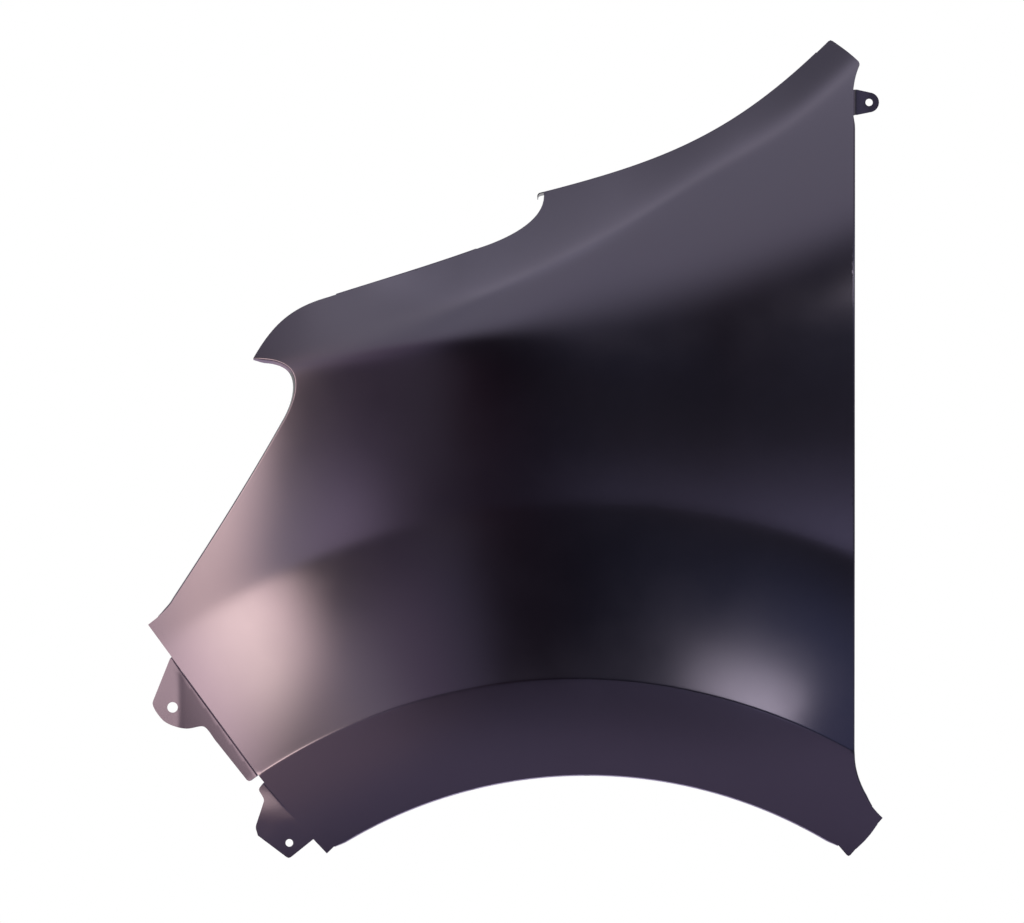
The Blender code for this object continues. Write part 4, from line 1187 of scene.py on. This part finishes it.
def dust_nibs():
    """Mask of a few round specks of dust under the film."""
    group, (scale, size, share) = shader_group("dust_nibs", {"Scale": 55.0, "Size": 0.022, "Share": 0.9},
                                               "Mask", "NodeSocketFloat")
    place = add_node(group, "ShaderNodeTexCoord", output="Object")
    cells = add_node(group, "ShaderNodeTexVoronoi", {"Vector": place, "Scale": scale}, "Distance")
    chance = add_node(group, "ShaderNodeSeparateColor", {"Color": cells.beside("Color")}, "Red")
    mask = cells.ease(0.0, size, 1.0, 0.0) * chance.math("GREATER_THAN", share)
    add_node(group, "NodeGroupOutput", {"Mask": mask})
    return group


DIMPLES = film_dimples()
TONE = tone_drift()
NIBS = dust_nibs()
print("effects:", [group.name for group in (DIMPLES, TONE, NIBS)])

# %% The two finishes
SPECULAR_LEVEL = 1.0
SHEEN_TINT = (0.93, 0.86, 1.0, 1.0)
NIB_COLOUR = (0.10, 0.09, 0.11, 1.0)
HAZE_SCALE = 14.0
HAZE_SPAN = (0.3, 0.7)


def primer(name, roughness, unevenness, dimple_scale, dimple_depth, lift):
    """Satin black primer with its film effects."""
    material = bpy.data.materials.new(name)
    material.use_nodes = True
    tree = material.node_tree

    def effect(group, **sizes):
        return add_node(tree, "ShaderNodeGroup", sizes, node_tree=group)

    nibs = effect(NIBS)
    height = effect(DIMPLES, Scale=dimple_scale) + nibs
    dimples = {"Strength": 1.0, "Distance": dimple_depth, "Height": height}
    haze = object_noise(tree, HAZE_SCALE, 4.0, 0.6)
    feed(tree.nodes["Principled BSDF"], {
        "Base Color": mixed(nibs, effect(TONE, Lift=lift), NIB_COLOUR),
        "Roughness": haze.ease(*HAZE_SPAN, roughness - unevenness, roughness + unevenness),
        "Specular IOR Level": SPECULAR_LEVEL,
        "Specular Tint": SHEEN_TINT,
        "Normal": add_node(tree, "ShaderNodeBump", dimples, "Normal"),
    })
    return material


finished.materials.clear()
finished.materials.append(primer("satin_black_primer", roughness=0.19, unevenness=0.015, dimple_scale=380.0,
                                 dimple_depth=0.00001, lift=1.0))
finished.materials.append(primer("satin_black_primer_inside", roughness=0.42, unevenness=0.06,
                                 dimple_scale=190.0, dimple_depth=0.00002, lift=1.5))
print("finishes:", [m.name for m in finished.materials])

# %% The fender rides on the frame
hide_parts("fender_panel")
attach(fender, "root")

# %% [markdown]
# ## Floor
# A pale floor lies just under the lowest corner. The camera sees it white, as in a light tent, with
# only a soft shadow. The panel mirrors it too, and to every other ray its colour holds painted light and
# painted shade: brighter and warmer towards the left wall of the tent, and darker towards the gap at the
# front where the camera stands.

# %% Floor
FLOOR_HALF = 1.6
FLOOR_SHIFT = 0.3
FLOOR_GAP = 0.0005
FLOOR_WHITE = (0.80, 0.80, 0.80, 1.0)
# Floor colour for reflected rays, with painted light: brighter and warmer to the left, as if lit by the
# tent's left wall.
FLOOR_PAINTED_LIGHT_RIGHT = (0.78, 0.73, 0.93, 1.0)
FLOOR_PAINTED_LIGHT_LEFT = (1.2, 0.98, 1.03, 1.0)
FLOOR_PAINTED_LIGHT_SPAN = (-0.75, -0.50)
# Painted shade on the floor's colour for reflected rays, darker towards the front where the camera's gap is.
FLOOR_PAINTED_SHADE_FRONT = 0.40
FLOOR_PAINTED_SHADE_SPAN = (-1.25, -0.65)
FLOOR_LIFT = 0.86
FLOOR_ROUGHNESS = 0.9

floor_z = cad_box[0][2] - FLOOR_GAP
corners = [(-1, -1), (1, -1), (1, 1), (-1, 1)]
places = [(x * FLOOR_HALF - FLOOR_SHIFT, y * FLOOR_HALF, floor_z) for x, y in corners]
floor_mesh = bpy.data.meshes.new("floor")
floor_mesh.from_pydata(places, [], [(0, 1, 2, 3)])
floor = bpy.data.objects.new("floor", floor_mesh)
bpy.context.scene.collection.objects.link(floor)
floor_paint = bpy.data.materials.new("pale_floor")
floor_paint.use_nodes = True
tree = floor_paint.node_tree
place = add_node(tree, "ShaderNodeNewGeometry", output="Position")
along_x = add_node(tree, "ShaderNodeSeparateXYZ", {"Vector": place}, "X")
# Painted shade: the floor's colour for reflected rays is darker towards the front.
floor_painted_shade = along_x.beside("Y").ease(*FLOOR_PAINTED_SHADE_SPAN, FLOOR_PAINTED_SHADE_FRONT, 1.0)
# Painted light: the floor's colour for reflected rays is brighter and warmer towards the left.
floor_painted_light = mixed(along_x.ease(*FLOOR_PAINTED_LIGHT_SPAN, 0.0, 1.0), FLOOR_PAINTED_LIGHT_LEFT, FLOOR_PAINTED_LIGHT_RIGHT)
seen = add_node(tree, "ShaderNodeLightPath", output="Is Camera Ray")
surface = tree.nodes["Principled BSDF"]
feed(surface, {"Roughness": FLOOR_ROUGHNESS, "Base Color": mixed(seen, scaled(floor_painted_light, floor_painted_shade), FLOOR_WHITE)})
glow = add_node(tree, "ShaderNodeEmission")
paper = Field(tree, surface.outputs["BSDF"])
blend = add_node(tree, "ShaderNodeMixShader", {"Fac": seen * FLOOR_LIFT, 1: paper, 2: glow})
feed(tree.nodes["Material Output"], {"Surface": blend})
floor_mesh.materials.append(floor_paint)
print("floor at z = %.4f" % floor_z)

# %% [markdown]
# ## Light
# A dark satin panel shows what surrounds it. The photograph was taken in a bright tent with a dark gap
# for the camera: the left wall of the tent is bright, its roof glows evenly, and a small soft light
# stands high on the right. The world is made to match: a few rings of light, one above the other, each
# a ramp over the azimuth of a ray, fade into each other with its elevation. The small light is a real
# area lamp. The camera itself sees plain white behind the panel.

# %% Rings of the tent, as an azimuth in degrees and the light there
TENT_LOW = [
    (-150, 0.5, 0.5, 0.5), (-96, 0.6, 0.5, 0.6), (-82, 1.2, 0.9, 1.0), (-69, 4.8, 3.7, 3.7),
    (-56, 7.2, 5.4, 4.9), (-43, 1.90, 1.70, 2.00), (-33, 1.90, 1.55, 2.10), (-20, 0.15, 0.12, 0.20),
    (-4, 0.10, 0.09, 0.14), (3, 1.05, 1.00, 1.50), (15, 0.35, 0.35, 0.55), (120, 0.6, 0.6, 0.6)]
TENT_MIDDLE = [
    (-150, 0.5, 0.5, 0.5), (-96, 0.6, 0.5, 0.6), (-80, 1.3, 1.0, 1.1), (-68, 7.4, 5.6, 5.6),
    (-56, 13.0, 10.4, 9.0), (-50, 9.9, 7.6, 6.9), (-42.5, 0.20, 0.17, 0.21), (-29, 0.16, 0.12, 0.20),
    (-20, 0.31, 0.27, 0.35), (-12, 0.06, 0.015, 0.03), (-5, 0.01, 0.01, 0.02), (3, 0.12, 0.12, 0.15),
    (16, 0.06, 0.06, 0.09), (60, 0.4, 0.4, 0.5), (120, 0.5, 0.5, 0.5)]
TENT_BROW = [
    (-150, 0.8, 0.7, 0.9), (-67, 0.4, 0.32, 0.4), (-51, 1.50, 1.25, 1.35), (-46, 1.40, 1.22, 1.45),
    (-31, 0.64, 0.50, 0.74), (-22, 0.38, 0.34, 0.50), (-15, 0.05, 0.035, 0.05), (-8, 0.03, 0.02, 0.03),
    (2, 0.05, 0.06, 0.10), (16, 0.24, 0.29, 0.54), (30, 0.30, 0.33, 0.62), (120, 0.8, 0.8, 1.0)]
TENT_HIGH = [
    (-150, 0.5, 0.5, 0.6), (-108, 0.48, 0.47, 0.58), (-94, 0.82, 0.80, 0.96), (-75, 1.05, 1.02, 1.22),
    (-55, 1.40, 1.36, 1.55), (-40, 0.95, 0.94, 1.16), (-31, 1.16, 1.14, 1.36), (-20, 1.10, 1.07, 1.28),
    (-11, 1.20, 1.16, 1.42), (-3, 0.90, 0.88, 1.10), (8, 1.05, 1.02, 1.26), (26, 0.5, 0.45, 0.6),
    (120, 0.8, 0.7, 0.8)]
MIDDLE_SPAN = (-2.2, 3.6)
BROW_SPAN = (7.0, 20.0)
HIGH_SPAN = (25.5, 56.5)
HIGH_TILT = 0.1
ROOF_STRIP = (68.5, 73.2, 78.5)
ROOF_STRIP_GAIN = 0.54
ROOF_TOP_LOSS = 0.60
BRIGHTEST = 14.0

# %% The tent
world = bpy.data.worlds.new("tent")
bpy.context.scene.world = world
world.use_nodes = True
tree = world.node_tree
ray = add_node(tree, "ShaderNodeTexCoord", output="Generated")
ray_x = add_node(tree, "ShaderNodeSeparateXYZ", {"Vector": ray}, "X")
azimuth = ray_x.math("ARCTAN2", ray_x.beside("Y") * -1.0) * (180.0 / math.pi)
elevation = ray_x.beside("Z").math("ARCSINE") * (180.0 / math.pi)
around = (azimuth + 180.0) / 360.0


def tent_ring(stops):
    """One ring of the tent's light, as a colour ramp over the azimuth."""
    ring = add_node(tree, "ShaderNodeValToRGB", {"Fac": around}, "Color")
    ramp = ring.socket.node.color_ramp
    ramp.interpolation = "EASE"
    while len(ramp.elements) < len(stops):
        ramp.elements.new(0.5)
    for element, stop in zip(ramp.elements, stops):
        element.position = (stop[0] + 180.0) / 360.0
    for element, stop in zip(ramp.elements, stops):
        element.color = [light / BRIGHTEST for light in stop[1:]] + [1.0]
    return ring


level = mixed(elevation.ease(*MIDDLE_SPAN, 0.0, 1.0), tent_ring(TENT_LOW), tent_ring(TENT_MIDDLE))
level = mixed(elevation.ease(*BROW_SPAN, 0.0, 1.0), level, tent_ring(TENT_BROW))
level = mixed((elevation + azimuth * HIGH_TILT).ease(*HIGH_SPAN, 0.0, 1.0), level, tent_ring(TENT_HIGH))
strip = elevation.ease(*ROOF_STRIP[:2], 0.0, ROOF_STRIP_GAIN)
strip = strip - elevation.ease(*ROOF_STRIP[1:], 0.0, ROOF_TOP_LOSS)
seen = add_node(tree, "ShaderNodeLightPath", output="Is Camera Ray")
light = mixed(seen, scaled(level, (strip + 1.0) * BRIGHTEST), (1.0, 1.0, 1.0, 1.0))
feed(tree.nodes["Background"], {"Color": light, "Strength": 1.0})
print("rings of the tent: 4, brightest light %.1f" % max(stop[1] for stop in TENT_MIDDLE))

# %% The soft light, high on the right
LAMP_AIM = Vector((-0.105, -0.12, -0.50))
LAMP_AZIMUTH = math.radians(15.3)
LAMP_ELEVATION = math.radians(32.6)
LAMP_ROLL = math.radians(-12.0)
LAMP_DISTANCE = 2.4
LAMP_SIZE = (0.57, 0.38)
LAMP_RADIANCE = 4.9

lamp_light = bpy.data.lights.new("high_right_softbox", "AREA")
lamp_light.shape = "RECTANGLE"
lamp_light.size, lamp_light.size_y = LAMP_SIZE
lamp_light.energy = LAMP_RADIANCE * math.pi * LAMP_SIZE[0] * LAMP_SIZE[1]
lamp_light.color = (1.0, 0.94, 0.99)
flat = math.cos(LAMP_ELEVATION)
out = Vector((math.sin(LAMP_AZIMUTH) * flat, -math.cos(LAMP_AZIMUTH) * flat, math.sin(LAMP_ELEVATION)))
stand = bpy.data.objects.new("high_right_softbox", lamp_light)
stand.location = LAMP_AIM + out * LAMP_DISTANCE
stand.rotation_mode = "QUATERNION"
stand.rotation_quaternion = out.to_track_quat("Z", "Y") @ Quaternion((0.0, 0.0, 1.0), LAMP_ROLL)
bpy.context.scene.collection.objects.link(stand)

# %% [markdown]
# ## Camera
# The photograph is square on to the panel and shows no perspective, as through a very long lens. So the
# camera looks along +Y with parallel rays, and the picture is 1024 px wide at 0.865 mm a pixel.

# %% Camera
PIXEL = 0.000865
PHOTO_SIZE = (1024, 923)
PHOTO_ZERO = (587.0, 1247.5)
CAMERA_DISTANCE = 3.0

view = bpy.data.cameras.new("camera")
view.type = "ORTHO"
view.ortho_scale = PHOTO_SIZE[0] * PIXEL
camera = bpy.data.objects.new("camera", view)
centre_x = (PHOTO_SIZE[0] / 2.0 - PHOTO_ZERO[0]) * PIXEL - part_origin.x
centre_z = (PHOTO_ZERO[1] - PHOTO_SIZE[1] / 2.0) * PIXEL - part_origin.z
camera.location = (centre_x, -CAMERA_DISTANCE, centre_z)
camera.rotation_euler = (math.radians(90.0), 0.0, 0.0)
bpy.context.scene.collection.objects.link(camera)
bpy.context.scene.camera = camera
bpy.context.scene.view_settings.view_transform = "Standard"
print("the picture is %.0f mm wide" % (view.ortho_scale * 1000))
